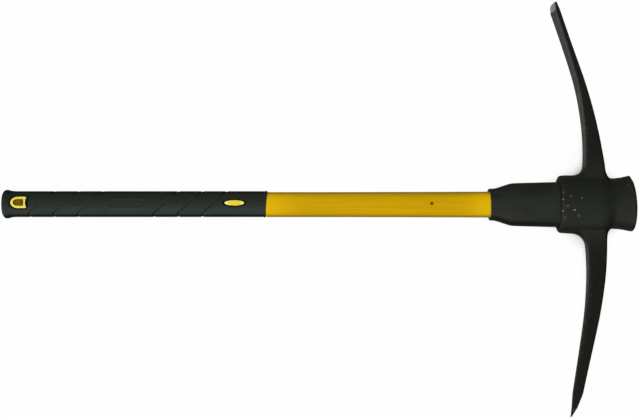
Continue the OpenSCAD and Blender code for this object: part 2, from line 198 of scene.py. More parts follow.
class ShaftSizes(bpy.types.PropertyGroup):
    """Sizes of the jacketed shaft."""

    head_w: length("Width at the head", "Width of the shaft where it enters the sleeve", 37.2 * MM)
    grip_w: length("Width at the grip", "Width of the shaft where it enters the grip", 35.7 * MM)
    depth: length("Depth", "Depth of the shaft", 32 * MM)
    neck_w: length("Neck width", "Width of the neck under the grip", 29 * MM)
    neck_d: length("Neck depth", "Depth of the neck under the grip", 27 * MM)
    pin_at: length("Pin place", "Distance of the moulding pin hole from the crown", 289 * MM)
    pin_dia: length("Pin diameter", "Diameter of the moulding pin hole", 4.8 * MM)
    pin_deep: length("Pin depth", "Depth of the moulding pin hole", 4.5 * MM)


class GripSizes(bpy.types.PropertyGroup):
    """Sizes of the rubber grip."""

    width: length("Width", "Width of the grip", 37 * MM)
    depth: length("Depth", "Depth of the grip", 33.4 * MM)
    set_over: length("Set over", "How far the grip sits towards the chisel side", 0.7 * MM)
    butt_more: length("Butt swell", "How far the rubber bulges at the butt", 0.8 * MM)
    bead_w: length("Bead width", "Width of the end bead", 41.2 * MM)
    bead_d: length("Bead depth", "Depth of the end bead", 37 * MM)
    bead_len: length("Bead length", "Length of the end bead", 14 * MM)
    butt_round: length("Butt rounding", "Length of the rounded edge at the butt", 5 * MM)
    butt_flat: length("Butt flat", "Width of the flat on the butt", 20 * MM)
    lip_rise: length("Lip rise", "Height of the lip at the mouth", 0.5 * MM)
    lip_len: length("Lip length", "Length of the lip at the mouth", 2.4 * MM)
    mouth_lean: share("Mouth lean", "How far the mouth leans forward on the chisel side", 0.075)
    mouth_set: length("Mouth set", "How far the rubber runs out over the shaft", 0.7 * MM)
    groove_w: length("Groove width", "Width of a slanting groove", 2.5 * MM)
    groove_deep: length("Groove depth", "Depth of a slanting groove", 1.5 * MM)
    groove_worn: share("Worn grooves", "Part of their depth that the grooves near the butt still have", 0.65)
    groove_pitch: length("Groove pitch", "Distance between neighbouring grooves", 34.5 * MM)
    groove_count: IntProperty(name="Grooves", description="Grooves in each of the two groups", default=3)
    groove_lean: turn("Groove lean", "Angle of a groove across the handle", 43.5)
    groove_tilt: turn("Groove tilt", "Angle by which a groove's front is nearer the butt", 7)
    butt_group: length("Butt group", "Distance of the first group's middle from the butt", 90 * MM)
    mouth_group: length("Mouth group", "Distance of the second group's middle from the mouth", 108 * MM)
    panel_at: length("Panel place", "Distance of the bare panel's middle from the butt", 179 * MM)
    panel_len: length("Panel length", "Length of the bare panel", 51 * MM)
    panel_w: length("Panel width", "Width of the bare panel", 11.3 * MM)
    panel_deep: length("Panel depth", "Depth of the bare panel", 0.45 * MM)
    dimple_at: length("Dimple place", "Distance of the moulding dimple from the butt", 105.5 * MM)
    dimple_dia: length("Dimple diameter", "Diameter of the moulding dimple", 4 * MM)
    dimple_deep: length("Dimple depth", "Depth of the moulding dimple", 1.4 * MM)


class TrimSizes(bpy.types.PropertyGroup):
    """Sizes of the hang hole's eyelet and of the oval inlay."""

    hollow: length("Hollow", "Depth of the hollow in the eyelet's flat end", 2.4 * MM)
    hole_len: length("Hole length", "Length of the hang hole in front", 14.4 * MM)
    hole_draft: length("Hole draft", "How much shorter the hang hole is at the back", 3.4 * MM)
    hole_w: length("Hole width", "Width of the hang hole", 9.2 * MM)
    hole_at: length("Hole place", "Distance of the hole's nose from the eyelet's nose", 3.7 * MM)
    lip: length("Lip", "Rounding of the eyelet's edges", 0.8 * MM)
    set_in: length("Eyelet set in", "How far the eyelet sits towards the head", 1.1 * MM)
    set_over: length("Eyelet set over", "How far the eyelet sits towards the chisel side", 1 * MM)
    inlay_less: length("Inlay shortfall", "How much shorter the oval is at each end than its seat", 0.9 * MM)
    inlay_slim: length("Inlay slimness", "How much slimmer the oval is on each side than its seat", 0.3 * MM)
    inlay_over: length("Inlay set over", "How far the oval sits towards the chisel side", 0.3 * MM)
    gap: length("Gap", "Gap between trim and rubber", 0.8 * MM)
    seat: length("Seat", "Depth of the inlay's recess in the rubber", 1.8 * MM)
    crown: length("Crown", "Rise of the inlay's middle over its ends", 0.45 * MM)


class FinishColours(bpy.types.PropertyGroup):
    """Colours of the finishes."""

    paint: colour("Paint", "Black paint on the arms", (0.0098, 0.0112, 0.008))
    # Painted light: paler paint round the eye, on the faces turned to the light
    paint_lit_eye: colour("Rubbed paint", "Paint rubbed paler round the eye", (0.0225, 0.0255, 0.0188))
    steel: colour("Steel", "Bare ground steel", (0.205, 0.21, 0.18))
    # Painted light on the arms' inner faces, which face the key light
    paint_lit_inner: colour("Dulled paint", "Paint dulled by soil on the arms' inner faces", (0.05, 0.0515, 0.047))
    chip: colour("Chips", "Chipped and rubbed paint", (0.28, 0.28, 0.25))
    sleeve: colour("Sleeve", "Moulded sleeve", (0.0235, 0.0265, 0.02))
    shaft: colour("Shaft", "Yellow jacket", (0.66, 0.388, 0.0015))
    # Painted light: the jacket brighter near both ends
    shaft_lit_ends: colour("Shaft ends", "Jacket where it is least worn, at both ends", (0.78, 0.47, 0.002))
    shaft_dark: colour("Shaft streaks", "Darker streaks in the jacket", (0.585, 0.338, 0.001))
    # Painted shade in the shaft's pin hole
    pin_hole_shade: colour("Grime", "Grime in the shaft's pin hole", (0.33, 0.18, 0.006))
    rubber: colour("Rubber", "Grip rubber", (0.0205, 0.0228, 0.0182))
    # Paler rubber in patches, as painted light on the side facing the point
    rubber_dust_and_light: colour("Worn rubber", "Rubbed and dusty rubber", (0.0395, 0.0495, 0.0425))
    trim: colour("Trim", "Lemon yellow trim", (0.87, 0.68, 0.026))
    # Painted shade and light on the walls of the hang hole
    trim_wall_lit: colour("Deep trim", "Trim on the walls of the hang hole", (0.97, 0.82, 0.04))
    # Painted highlight on the eyelet's outer edge and the inlay's ends
    trim_highlight: colour("Pale trim", "Trim where the mould leaves it pale", (0.97, 0.955, 0.27))
    fibre: colour("Fibre", "Glass fibre core", (0.56, 0.48, 0.3))


class StageLook(bpy.types.PropertyGroup):
    """Camera, light and floor."""

    view_x: length("View X", "Place of the camera along the handle", 1.5 * MM)
    view_y: length("View Y", "Place of the camera across the handle", 1.5 * MM)
    view_high: length("View height", "Height of the camera over the floor", 1477 * MM)
    lens: FloatProperty(name="Lens", description="Focal length in millimetres", default=57.06)
    sensor: FloatProperty(name="Sensor", description="Sensor width in millimetres", default=36.0)
    floor: length("Floor", "Width of the floor", 300.0)
    floor_grey: share("Floor shade", "Reflectance of the floor", 0.32)
    floor_white: share("Floor white", "Part of the floor that the camera sees as plain white", 0.99)
    # Painted shadow on the floor: ambient occlusion within a reach, and a strip under the handle
    cover_reach: length("Cover reach", "Height up to which the object covers the floor", 60 * MM)
    cover_dark: share("Covered", "Openness at which the floor is fully covered", 0.25)
    cover_light: share("Uncovered", "Openness from which the floor is fully open", 0.43)
    cover_half: length("Shaded strip", "Half width of the handle's core shadow on the floor", 16 * MM)
    sky: share("Sky", "Strength of the even light from all round", 0.32)
    key_from: FloatVectorProperty(name="Key direction", description="Direction that the key light comes from",
                                  default=(-0.62, -0.16, 0.77), subtype="DIRECTION")
    key_angle: turn("Key spread", "Angle that the key light fills", 60)
    key_power: FloatProperty(name="Key", description="Strength of the key light", default=2.5)


class PickAxeSettings(bpy.types.PropertyGroup):
    """All sizes and looks of the pick axe."""

    eye: PointerProperty(type=EyeSizes)
    chisel: PointerProperty(type=ChiselArmSizes)
    point: PointerProperty(type=PointArmSizes)
    sleeve: PointerProperty(type=SleeveSizes)
    shaft: PointerProperty(type=ShaftSizes)
    grip: PointerProperty(type=GripSizes)
    trim: PointerProperty(type=TrimSizes)
    colours: PointerProperty(type=FinishColours)
    stage: PointerProperty(type=StageLook)


def settings():
    return bpy.context.scene.pick_axe


def blend(a, b, t):
    return a + (b - a) * t


def ease(t):
    """Eased step from 0 to 1."""
    t = min(1.0, max(0.0, t))
    return t * t * (3 - 2 * t)


def spread(low, high, count):
    """Evenly spaced values from low to high, both included."""
    return [blend(low, high, k / (count - 1)) for k in range(count)]


def quarter(count):
    """Angles from 0 to a quarter turn."""
    return spread(0.0, math.pi / 2, count)


def alike(value):
    """The same in width and in depth."""
    return Vector((value, value))


def fuller(c, power):
    """A sine or cosine raised to a power, which below 1 makes a round outline squarer."""
    return math.copysign(abs(c) ** power, c)


# Rings: every piece is drawn out of a ring of vertices, station by station

HANDLE_OVAL = 0.8
ROUND = 1.0
# Steps round a small rounded edge
EDGE_STEPS = 4
# Size of the last ring before an end is closed, as a share of that end
END_RING_SHARE = 0.25


def place_oval(ring, x, width, depth, power=HANDLE_OVAL, slant=(0.0, 0.0)):
    """Puts a ring on an oval across the handle. The oval is a little larger than its size, by
    what subdivision takes off it again. Slant is how far X runs with Y and with Z."""
    grow = 3 / (2 + math.cos(math.tau / len(ring)))
    for k, vert in enumerate(ring):
        angle = math.tau * k / len(ring)
        y = width / 2 * grow * fuller(math.cos(angle), power)
        z = depth / 2 * grow * fuller(math.sin(angle), power)
        vert.co = (x + slant[0] * y + slant[1] * z, AXIS_Y + y, AXIS_Z + z)


def oval_height(y, width, depth, power=HANDLE_OVAL):
    """Height of an oval's upper side over the handle axis, at y from the axis."""
    return depth / 2 * max(0.0, 1 - abs(2 * y / width) ** (2 / power)) ** (power / 2)


def ring_edges(bm, ring):
    return [bm.edges.get(pair) for pair in zip(ring, ring[1:] + ring[:1])]


def verts_of(rows):
    return [vert for ring in rows for vert in ring]


def extrude_ring(bm, ring):
    """Extrudes a closed ring and returns the new ring in the same order."""
    made = bmesh.ops.extrude_edge_only(bm, edges=ring_edges(bm, ring))
    new = {v for v in made["geom"] if isinstance(v, bmesh.types.BMVert)}
    return [next(e.other_vert(v) for e in v.link_edges if e.other_vert(v) in new) for v in ring]


def start_ring(bm, sides):
    return list(bmesh.ops.create_circle(bm, segments=sides, radius=MM)["verts"])


def loft(bm, sides, stations):
    """Draws an oval ring through stations of place_oval's values and returns its rows."""
    rows = [start_ring(bm, sides)]
    for _ in stations[1:]:
        rows.append(extrude_ring(bm, rows[-1]))
    for ring, station in zip(rows, stations):
        place_oval(ring, *station)
    return rows


def close_ring(bm, ring):
    bmesh.ops.edgeloop_fill(bm, edges=ring_edges(bm, ring))


def join_rings(bm, first, last):
    bmesh.ops.bridge_loops(bm, edges=ring_edges(bm, first) + ring_edges(bm, last))


def open_block(bm, rows, columns):
    """Takes a block of faces out of a grid and returns the ring round it, as tuples of vertex,
    row and column, both counted in the block."""
    sides = len(rows[0])
    grid = [[ring[c % sides] for c in columns] for ring in rows]
    inside = {v for line in grid for v in line}
    top, right = len(grid) - 1, len(columns) - 1
    steps = [(i, 0) for i in range(top)] + [(top, j) for j in range(right)]
    steps += [(i, right) for i in range(top, 0, -1)] + [(0, j) for j in range(right, 0, -1)]
    ring = [(grid[i][j], i, j) for i, j in steps]
    faces = {f for v in inside for f in v.link_faces if all(w in inside for w in f.verts)}
    bmesh.ops.delete(bm, geom=list(faces), context="FACES")
    return ring


def crease(bm, ring, amount):
    """Keeps an edge ring crisp under subdivision."""
    layer = bm.edges.layers.float.get("crease_edge") or bm.edges.layers.float.new("crease_edge")
    for edge in ring_edges(bm, ring):
        edge[layer] = amount


def make_piece(bm, name, material, body, node, levels=1):
    """Turns a mesh under construction into a finished piece that stands for a CAD node."""
    bmesh.ops.recalc_face_normals(bm, faces=bm.faces[:])
    mesh = bpy.data.meshes.new(name)
    bm.to_mesh(mesh)
    bm.free()
    mesh.shade_smooth()
    mesh.materials.append(material)
    piece = bpy.data.objects.new(name, mesh)
    bpy.context.scene.collection.objects.link(piece)
    surface = piece.modifiers.new("Subdivision", "SUBSURF")
    surface.levels = levels
    surface.render_levels = levels
    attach(piece, body)
    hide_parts(node)
    return piece


# Head: a closed barrel round the eye, with both arms drawn out of its sides


def barrel_size(eye, along):
    """Width and depth of the barrel's outside at a distance from the crown."""
    cheek, waist = Vector((eye.cheek_w, eye.cheek_d)), Vector((eye.waist_w, eye.waist_d))
    crown = Vector((eye.crown_w, eye.crown_d))
    if along >= eye.waist_at:
        return waist.lerp(cheek, ease((along - eye.waist_at) / (eye.cheek_end - eye.waist_at)))
    return waist.lerp(crown, ((eye.waist_at - along) / (eye.waist_at - eye.crown_round)) ** 2)


def eye_size(eye, along, grow=0.0):
    """Width and depth of the eye's opening at a distance from the crown."""
    more = 2 * eye.open_taper * (1 - along / eye.length) + 2 * grow
    return Vector((eye.open_w + more, eye.open_d + more))


# Steps of the barrel's wall: round the rim, from the arms' roots to the crown lip, through the eye
RIM_STEPS = 5
WAIST_STEPS = 7
EYE_STEPS = 5


def barrel_stations(eye):
    """Stations round the barrel's wall, from the lower rim over the crown and back through the
    eye, the number of the first one at the arms' roots and of the first one inside."""
    walls = []
    rim = Vector((eye.rim_w, eye.rim_d))
    drop = eye.rim_round_share * (rim - eye_size(eye, eye.length))
    for a in quarter(RIM_STEPS):
        walls.append((eye.length - eye.rim_round * (1 - math.cos(a)), rim - drop * (1 - math.sin(a))))
    walls.append((blend(eye.length - eye.rim_round, eye.root_low, 0.5), barrel_size(eye, eye.root_low)))
    first = len(walls)
    for along in spread(eye.root_low, eye.root_high, ROOT_SPAN + 1):
        walls.append((along, barrel_size(eye, along)))
    for along in spread(eye.root_high, eye.crown_round, WAIST_STEPS)[1:-1]:
        walls.append((along, barrel_size(eye, along)))
    crown = Vector((eye.crown_w, eye.crown_d))
    for a in quarter(EDGE_STEPS):
        edge = 2 * eye.crown_round * (1 - math.cos(a))
        walls.append((eye.crown_round * (1 - math.sin(a)), crown - alike(edge)))
    outside = len(walls)
    walls.append((0.0, eye_size(eye, 0.0, eye.chamfer)))
    for along in spread(eye.chamfer, eye.length - eye.chamfer, EYE_STEPS):
        walls.append((along, eye_size(eye, along)))
    walls.append((eye.length, eye_size(eye, eye.length, eye.chamfer)))
    powers = [ROUND] * outside + [HANDLE_OVAL] * (len(walls) - outside)
    return [(CROWN_X - along, *size, power) for (along, size), power in zip(walls, powers)], first, outside


def bar_point(share_x, share_z, thick, deep, corner):
    """Point of a bar section with rounded corners, from shares of its half sizes."""
    x, z = share_x * thick / 2, share_z * deep / 2
    flat_x, flat_z = thick / 2 - corner, deep / 2 - corner
    if abs(x) > flat_x and abs(z) > flat_z:
        out = Vector((abs(x) - flat_x, abs(z) - flat_z)).normalized() * corner
        x, z = math.copysign(flat_x + out.x, x), math.copysign(flat_z + out.y, z)
    return x, z


# Rounding of an arm's edges, as a share of its smaller side
CORNER_SHARE = 0.17
# Distance from the handle axis up to which a root leans
ROOT_LEAN_REACH = 95 * MM
# Steps along an arm and along its fillet, and the place of the one step in its ground end
ARM_STEPS = 15
FILLET_STEPS = 6
GROUND_MIDDLE_SHARE = 0.6
GROUND_CREASE = 0.9
# How far a worn corner moves towards the crown, as a share of its wear, and how suddenly the wear sets in
WORN_ASIDE_SHARE = 0.4
WORN_POWER = 3
# Where the rubbed edges of an arm start and how far they run, as shares of its half section
EDGE_WEAR_SHARE = 0.4
EDGE_WEAR_RUN_SHARE = 0.5


class Arm:
    """Sections of one arm, at distances from the handle axis."""

    def __init__(self, sizes, reach, side, eye):
        self.sizes, self.reach, self.side = sizes, reach, side
        self.root = eye.cheek_w / 2
        self.top = self.root + sizes.fillet
        self.ground = reach - sizes.ground_len
        # How much sooner the fillet ends on the crown side than on the grip side
        rise = sizes.crown_fillet / (self.top - eye.waist_w / 2)
        self.haste = math.pi / 2 / math.acos(max(0.0, 1 - rise))

    def middle(self, far):
        """X of the arm's middle line: straight, bent with one radius, straight again."""
        s = self.sizes
        bent = max(0.0, min(far - s.bend_from, s.bend_radius * math.sin(s.bend_angle)))
        straight = max(0.0, far - s.bend_from - s.bend_radius * math.sin(s.bend_angle))
        drop = s.bend_radius - math.sqrt(s.bend_radius ** 2 - bent ** 2)
        lean = s.root_lean * max(0.0, ROOT_LEAN_REACH - far)
        return CROWN_X - s.root_at - lean - drop - straight * math.tan(s.bend_angle)

    def section(self, far):
        """Thickness and depth."""
        s = self.sizes
        t = max(0.0, min(1.0, (far - self.root) / (self.ground - self.root)))
        return blend(s.end_t, s.root_t, (1 - t) ** s.taper), blend(s.root_d, s.end_d, t)

    def point(self, far, share_x, share_z):
        """Place on the arm's skin."""
        thick, deep = self.section(far)
        x, z = bar_point(share_x, share_z, thick, deep, CORNER_SHARE * min(thick, deep))
        return Vector((self.middle(far) + x, AXIS_Y + self.side * far, AXIS_Z + z))

    def tip(self, share_x, share_z):
        """Place on the ground edge or point."""
        s = self.sizes
        x, z = bar_point(share_x, share_z, s.tip_t, s.tip_d, CORNER_SHARE * s.tip_t)
        worn = s.tip_worn * max(0.0, -share_z) ** WORN_POWER
        middle = self.middle(self.reach) + s.tip_share * s.end_t + WORN_ASIDE_SHARE * worn
        return Vector((middle + x, AXIS_Y + self.side * (self.reach - worn), AXIS_Z + z))


def draw_arm(bm, arm, block):
    """Draws an arm out of the ring round its root on the barrel."""
    wear = bm.verts.layers.float["edge_wear"]
    ring = [vert for vert, _, _ in block]
    shares = [(BAR_SHARES[i], BAR_SHARES[j]) for _, i, j in block]
    feet = [vert.co.copy() for vert in ring]
    for s in spread(0.0, 1.0, FILLET_STEPS + 1)[1:]:
        ring = extrude_ring(bm, ring)
        for vert, (sx, sz), foot in zip(ring, shares, feet):
            haste = blend(1.0, arm.haste, (sx + 1) / 2)
            inward = math.sin(math.pi / 2 * min(1.0, s * haste))
            outward = 1 - math.cos(math.pi / 2 * s)
            goal = arm.point(arm.top, sx, sz)
            vert.co = (blend(foot.x, goal.x, inward), blend(foot.y, goal.y, outward),
                       blend(foot.z, goal.z, inward))
    for far in spread(arm.top, arm.ground, ARM_STEPS + 1)[1:]:
        ring = extrude_ring(bm, ring)
        for vert, (sx, sz) in zip(ring, shares):
            vert.co = arm.point(far, sx, sz)
            vert[wear] = ease((min(abs(sx), abs(sz)) - EDGE_WEAR_SHARE) / EDGE_WEAR_RUN_SHARE)
    crease(bm, ring, GROUND_CREASE)
    start = [vert.co.copy() for vert in ring]
    for t in (GROUND_MIDDLE_SHARE, 1.0):
        ring = extrude_ring(bm, ring)
        inward = t - arm.sizes.tip_full * math.sin(math.pi * t)
        for vert, (sx, sz), foot in zip(ring, shares, start):
            goal = arm.tip(sx, sz)
            vert.co = foot.lerp(goal, inward)
            vert.co.y = blend(foot.y, goal.y, t)
            vert[wear] = 1.0
    crease(bm, ring, 1.0)
    close_ring(bm, ring)


# Part of the crown's fall that the eye's edge shares, and the wear of the rim and the crown lip
INNER_LOSS_SHARE = 0.4
LIP_WEAR = 0.7


def crown_loss(eye, place):
    """How far the crown lies back at a place, most at the front of the chisel side."""
    aside, front = 2 * (place.y - AXIS_Y) / eye.crown_w, 2 * (place.z - AXIS_Z) / eye.crown_d
    worn = max(0.0, aside) ** 2 * max(0.0, front)
    lean = eye.crown_lean * eye.crown_w / 2 * aside
    return eye.crown_set + eye.crown_bow * aside ** 2 + lean + eye.crown_wear * worn


class PICKAXE_OT_head(bpy.types.Operator):
    """Forge the head: barrel with rim, waist and crown, chisel arm and point arm"""

    bl_idname = "pickaxe.head"
    bl_label = "Head"

    def execute(self, context):
        s = settings()
        bm = bmesh.new()
        wear = bm.verts.layers.float.new("edge_wear")
        stations, first, outside = barrel_stations(s.eye)
        rows = loft(bm, BARREL_SIDES, stations)
        bmesh.ops.translate(bm, vec=(0.0, s.eye.rim_shift, 0.0), verts=verts_of(rows[:first]))
        for vert in verts_of(rows[first + ROOT_SPAN:outside]):
            near = ease(1 - (CROWN_X - vert.co.x) / s.eye.waist_at)
            vert.co.x -= near * crown_loss(s.eye, vert.co)
            vert.co.y += s.eye.crown_shift
        for vert in verts_of(rows[outside:outside + 2]):
            vert.co.x -= INNER_LOSS_SHARE * crown_loss(s.eye, vert.co)
        join_rings(bm, rows[0], rows[-1])
        lip = outside - EDGE_STEPS
        for vert in verts_of(rows[RIM_STEPS - 2:RIM_STEPS] + rows[lip - 1:lip + 2]):
            vert[wear] = LIP_WEAR
        half = ROOT_SPAN // 2
        root_rows = rows[first:first + ROOT_SPAN + 1]
        for sizes, reach, side, middle in ((s.chisel, CHISEL_REACH, 1, 0),
                                           (s.point, POINT_REACH, -1, BARREL_SIDES // 2)):
            columns = [middle + side * k for k in range(-half, half + 1)]
            block = open_block(bm, root_rows, columns)
            draw_arm(bm, Arm(sizes, reach, side, s.eye), block)
        make_piece(bm, "forged_head", head_paint(s), "head", "pick_head", levels=2)
        return {"FINISHED"}


# Handle pieces

# Places of the sleeve's rings, as shares of its lip, its flare, the run to the rim, the swell and the bore
LIP_RING_SHARE = 2 / 3
FLARE_SHARES = (0.05, 0.36, 0.64, 0.95)
RUN_SHARES = (0.05, 0.4, 0.7, 1.0)
SWELL_SHARES = (0.5, 0.99)
BORE_SHARES = (0.0, 0.02, 0.98, 1.0)
# How much larger the sleeve's bore is than the shaft, and how much smaller its end face is than the swell
SLEEVE_BORE_GAP = 0.3 * MM
SLEEVE_END_EDGE = 2 * MM


class PICKAXE_OT_sleeve(bpy.types.Operator):
    """Mould the sleeve that flares from the shaft to the swell in the eye"""

    bl_idname = "pickaxe.sleeve"
    bl_label = "Eye sleeve"
    sides = 48

    def execute(self, context):
        s = settings()
        size, eye = s.sleeve, s.eye
        mouth = Vector((size.mouth_w, size.mouth_d))
        flare = Vector((size.flare_w, size.flare_d))
        bore = Vector((s.shaft.head_w, s.shaft.depth)) + alike(SLEEVE_BORE_GAP)
        at_rim = eye_size(eye, eye.length, -size.fit_gap)
        at_end = eye_size(eye, CROWN_X - HANDLE_END_X, -size.fit_gap)
        lip_x = SLEEVE_MOUTH_X + size.mouth_len
        flare_x = lip_x + size.flare_len
        rim_x = CROWN_X - eye.length
        skin = []
        for a in quarter(EDGE_STEPS):
            edge = 2 * size.mouth_round * (1 - math.sin(a))
            skin.append((SLEEVE_MOUTH_X + size.mouth_round * (1 - math.cos(a)), mouth - alike(edge)))
        skin.append((blend(SLEEVE_MOUTH_X, lip_x, LIP_RING_SHARE), mouth))
        for shares, low_x, high_x, low, high in ((FLARE_SHARES, lip_x, flare_x, mouth, flare),
                                                 (RUN_SHARES, flare_x, rim_x, flare, at_rim),
                                                 (SWELL_SHARES, rim_x, HANDLE_END_X, at_rim, at_end)):
            skin += [(blend(low_x, high_x, t), low.lerp(high, t)) for t in shares]
        skin.append((HANDLE_END_X, at_end - alike(SLEEVE_END_EDGE)))
        skin += [(blend(HANDLE_END_X, SLEEVE_MOUTH_X, t), bore) for t in BORE_SHARES]
        stations = []
        for x, wide in skin:
            near = ease(1 - (x - SLEEVE_MOUTH_X) / size.mouth_len)
            slant = (-near * size.mouth_lean, 0.0)
            stations.append((x - near * size.mouth_set, *wide, HANDLE_OVAL, slant))
        bm = bmesh.new()
        rows = loft(bm, self.sides, stations)
        join_rings(bm, rows[0], rows[-1])
        make_piece(bm, "moulded_sleeve", sleeve_plastic(s), "handle", "eye_sleeve")
        return {"FINISHED"}


PIN_Y = AXIS_Y + 1.7 * MM
# Rows round the pin hole, in steps of the jacket's mesh, and the number of rows from there to the grip
PIN_ROWS = (4, 1, 0, -1, -4)
SHAFT_ROWS = 8
# Mouth of the pin hole: shares of its diameter, and depths
PIN_MOUTH = ((1.28, 0.0), (1.1, 0.15 * MM), (1.0, 0.5 * MM))
# Small step that keeps the jacket's ends crisp
JACKET_EDGE = 0.2 * MM


class PICKAXE_OT_jacket(bpy.types.Operator):
    """Mould the yellow jacket round the core, with its pin hole and its neck under the grip"""

    bl_idname = "pickaxe.jacket"
    bl_label = "Shaft jacket"
    sides = 48

    def execute(self, context):
        s = settings()
        size = s.shaft
        core = core_high.z - core_low.z
        bore = [(core_low.x, END_RING_SHARE * core), (core_low.x, core - JACKET_EDGE),
                (core_low.x + JACKET_EDGE, core), (HANDLE_END_X - JACKET_EDGE, core),
                (HANDLE_END_X, core + JACKET_EDGE)]
        skin = [(x, wide, wide, ROUND) for x, wide in bore]
        skin += [(HANDLE_END_X, size.head_w - 2 * JACKET_EDGE, size.depth - 2 * JACKET_EDGE),
                 (HANDLE_END_X - JACKET_EDGE, size.head_w, size.depth)]
        pin_x = CROWN_X - size.pin_at
        pitch = math.pi * size.depth / self.sides
        places = [SLEEVE_MOUTH_X] + [pin_x + k * pitch for k in PIN_ROWS]
        hole_row = len(skin) + places.index(pin_x) - 1
        places += spread(places[-1] - pitch, GRIP_MOUTH_X + MM, SHAFT_ROWS)[1:]
        for x in places:
            t = ((x - GRIP_MOUTH_X) / (SLEEVE_MOUTH_X - GRIP_MOUTH_X)) ** 2
            skin.append((x, blend(size.grip_w, size.head_w, t), size.depth))
        skin.append((GRIP_MOUTH_X, size.grip_w, size.depth))
        neck = Vector((size.neck_w, size.neck_d))
        for x in (GRIP_MOUTH_X, GRIP_MOUTH_X - JACKET_EDGE, jacket_low.x + JACKET_EDGE, jacket_low.x):
            skin.append((x, *neck))
        skin.append((jacket_low.x, *(END_RING_SHARE * neck)))
        bm = bmesh.new()
        rows = loft(bm, self.sides, skin)
        close_ring(bm, rows[0])
        close_ring(bm, rows[-1])
        middle = self.sides // 4
        block = open_block(bm, rows[hole_row:hole_row + 3], range(middle - 1, middle + 2))
        ring = [vert for vert, _, _ in block]
        turns = [math.atan2(j - 1, 1 - i) for _, i, j in block]
        front = AXIS_Z + size.depth / 2
        for wide, deep in (*PIN_MOUTH, (1.0, size.pin_deep)):
            if deep:
                ring = extrude_ring(bm, ring)
            for vert, angle in zip(ring, turns):
                radius = wide * size.pin_dia / 2
                vert.co = (pin_x + radius * math.cos(angle), PIN_Y - radius * math.sin(angle), front - deep)
        close_ring(bm, ring)
        make_piece(bm, "yellow_jacket", shaft_yellow(s), "handle", "shaft_jacket")
        return {"FINISHED"}


class PICKAXE_OT_core(bpy.types.Operator):
    """Finish the fibreglass core, whose sawn end shows in the crown"""

    bl_idname = "pickaxe.core"
    bl_label = "Fibreglass core"

    def execute(self, context):
        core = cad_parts["fibreglass_core"]
        if not core.material_slots:
            raise RuntimeError("the fibreglass core has no material slot")
        core.material_slots[0].link = "OBJECT"
        core.material_slots[0].material = glass_fibre(settings())
        return {"FINISHED"}


def grip_size(grip, along):
    """Width and depth of the grip's outside at a distance from the butt, without grooves and lip."""
    body, bead = Vector((grip.width, grip.depth)), Vector((grip.bead_w, grip.bead_d))
    if along >= grip.butt_round:
        return bead.lerp(body, ease((along - grip.butt_round) / (grip.bead_len - grip.butt_round)))
    flat = bead * grip.butt_flat / grip.bead_w
    side = math.acos(1 - along / grip.butt_round)
    return flat.lerp(bead, math.sin(side))


# Rows and columns of the grip's mesh that the eyelet's seat takes up, and the room round it
EYELET_ROWS = 6
EYELET_COLUMNS = (-7, 4)
EYELET_MARGIN = 1.6 * MM
# Distances from the butt at which the rows start to lean with the grooves and lean fully, and their run-out
SLANT_START = 9 * MM
SLANT_FULL = 52 * MM
SLANT_RUN_OUT = 38 * MM
# Rows: round the butt, in a plain stretch, and their spacing where the front is pressed and elsewhere
BUTT_STEPS = 6
PLAIN_STEPS = 4
FINE_ROW = 2.2 * MM
COARSE_ROW = 6 * MM
# How far the finer rows run past the panel, the dimple and the inlay
FINE_MARGIN = 9 * MM
INLAY_MARGIN = 4 * MM
# Half of a groove's section from its rim inwards: shares of its half width and of its depth
GROOVE_HALF_SHARES = ((1.6, 0.0), (1.18, 0.06), (0.9, 0.45), (0.55, 0.92))


def groove_places(grip):
    """Distances of the grooves from the butt, and the part of their depth that is left."""
    groups = ((grip.butt_group, grip.groove_worn), (GRIP_LEN - grip.mouth_group, 1.0))
    steps = [k - (grip.groove_count - 1) / 2 for k in range(grip.groove_count)]
    return [(middle + step * grip.groove_pitch, left) for middle, left in groups for step in steps]


def groove_profile(grip):
    """Steps along the handle and depths across one groove with rounded edges."""
    half = grip.groove_w / 2 / (math.cos(grip.groove_lean) * math.cos(grip.groove_tilt))
    side = [(a * half, b * grip.groove_deep) for a, b in GROOVE_HALF_SHARES]
    return [(-a, b) for a, b in side] + [(0.0, grip.groove_deep)] + side[::-1]


def grip_height(grip, x, y):
    """Height of the grip's front over the handle axis."""
    return oval_height(y - AXIS_Y - grip.set_over, *grip_size(grip, x - BUTT_X))


def grip_rows(grip):
    """Rows of the grip's outside: distance from the butt, depth of a groove there, part of it left.
    Also the number of the first row at the eyelet."""
    eyelet_from = eyelet_low.x - BUTT_X - EYELET_MARGIN
    eyelet_to = eyelet_high.x - BUTT_X + 4 * EYELET_MARGIN
    plain = [grip.butt_round * (1 - math.cos(a)) for a in quarter(BUTT_STEPS)]
    plain += spread(grip.butt_round, eyelet_from, PLAIN_STEPS)[1:-1]
    first = len(plain)
    plain += spread(eyelet_from, eyelet_to, EYELET_ROWS + 1)
    plain += spread(eyelet_to, SLANT_FULL, PLAIN_STEPS)[1:]
    rows = [(along, 0.0, 0.0) for along in plain]
    panel_reach = grip.panel_len / 2 + FINE_MARGIN
    inlay_from = inlay_low.x - BUTT_X - INLAY_MARGIN
    here = rows[-1][0]
    for place, left in groove_places(grip) + [(None, 0.0)]:
        profile = groove_profile(grip)
        goal = place + profile[0][0] if place else GRIP_LEN - 2 * grip.lip_len
        while here < goal - COARSE_ROW / 2:
            fine = (abs(here - grip.panel_at) < panel_reach or abs(here - grip.dimple_at) < FINE_MARGIN
                    or here > inlay_from)
            here += FINE_ROW if fine else COARSE_ROW
            if here < goal - FINE_ROW / 2:
                rows.append((here, 0.0, 0.0))
        if place:
            rows += [(place + step, deep, left) for step, deep in profile]
            here = rows[-1][0]
    return rows, first


# Parts of a groove's depth at the sides, on the point side and on the chisel side of front and back,
# and the cosines round the grip between which the last two change over
GROOVE_SIDE_SHARE = 1.4
GROOVE_LOW_SHARE = 0.9
GROOVE_HIGH_SHARE = 0.4
GROOVE_CHANGE = (-0.05, 0.4)


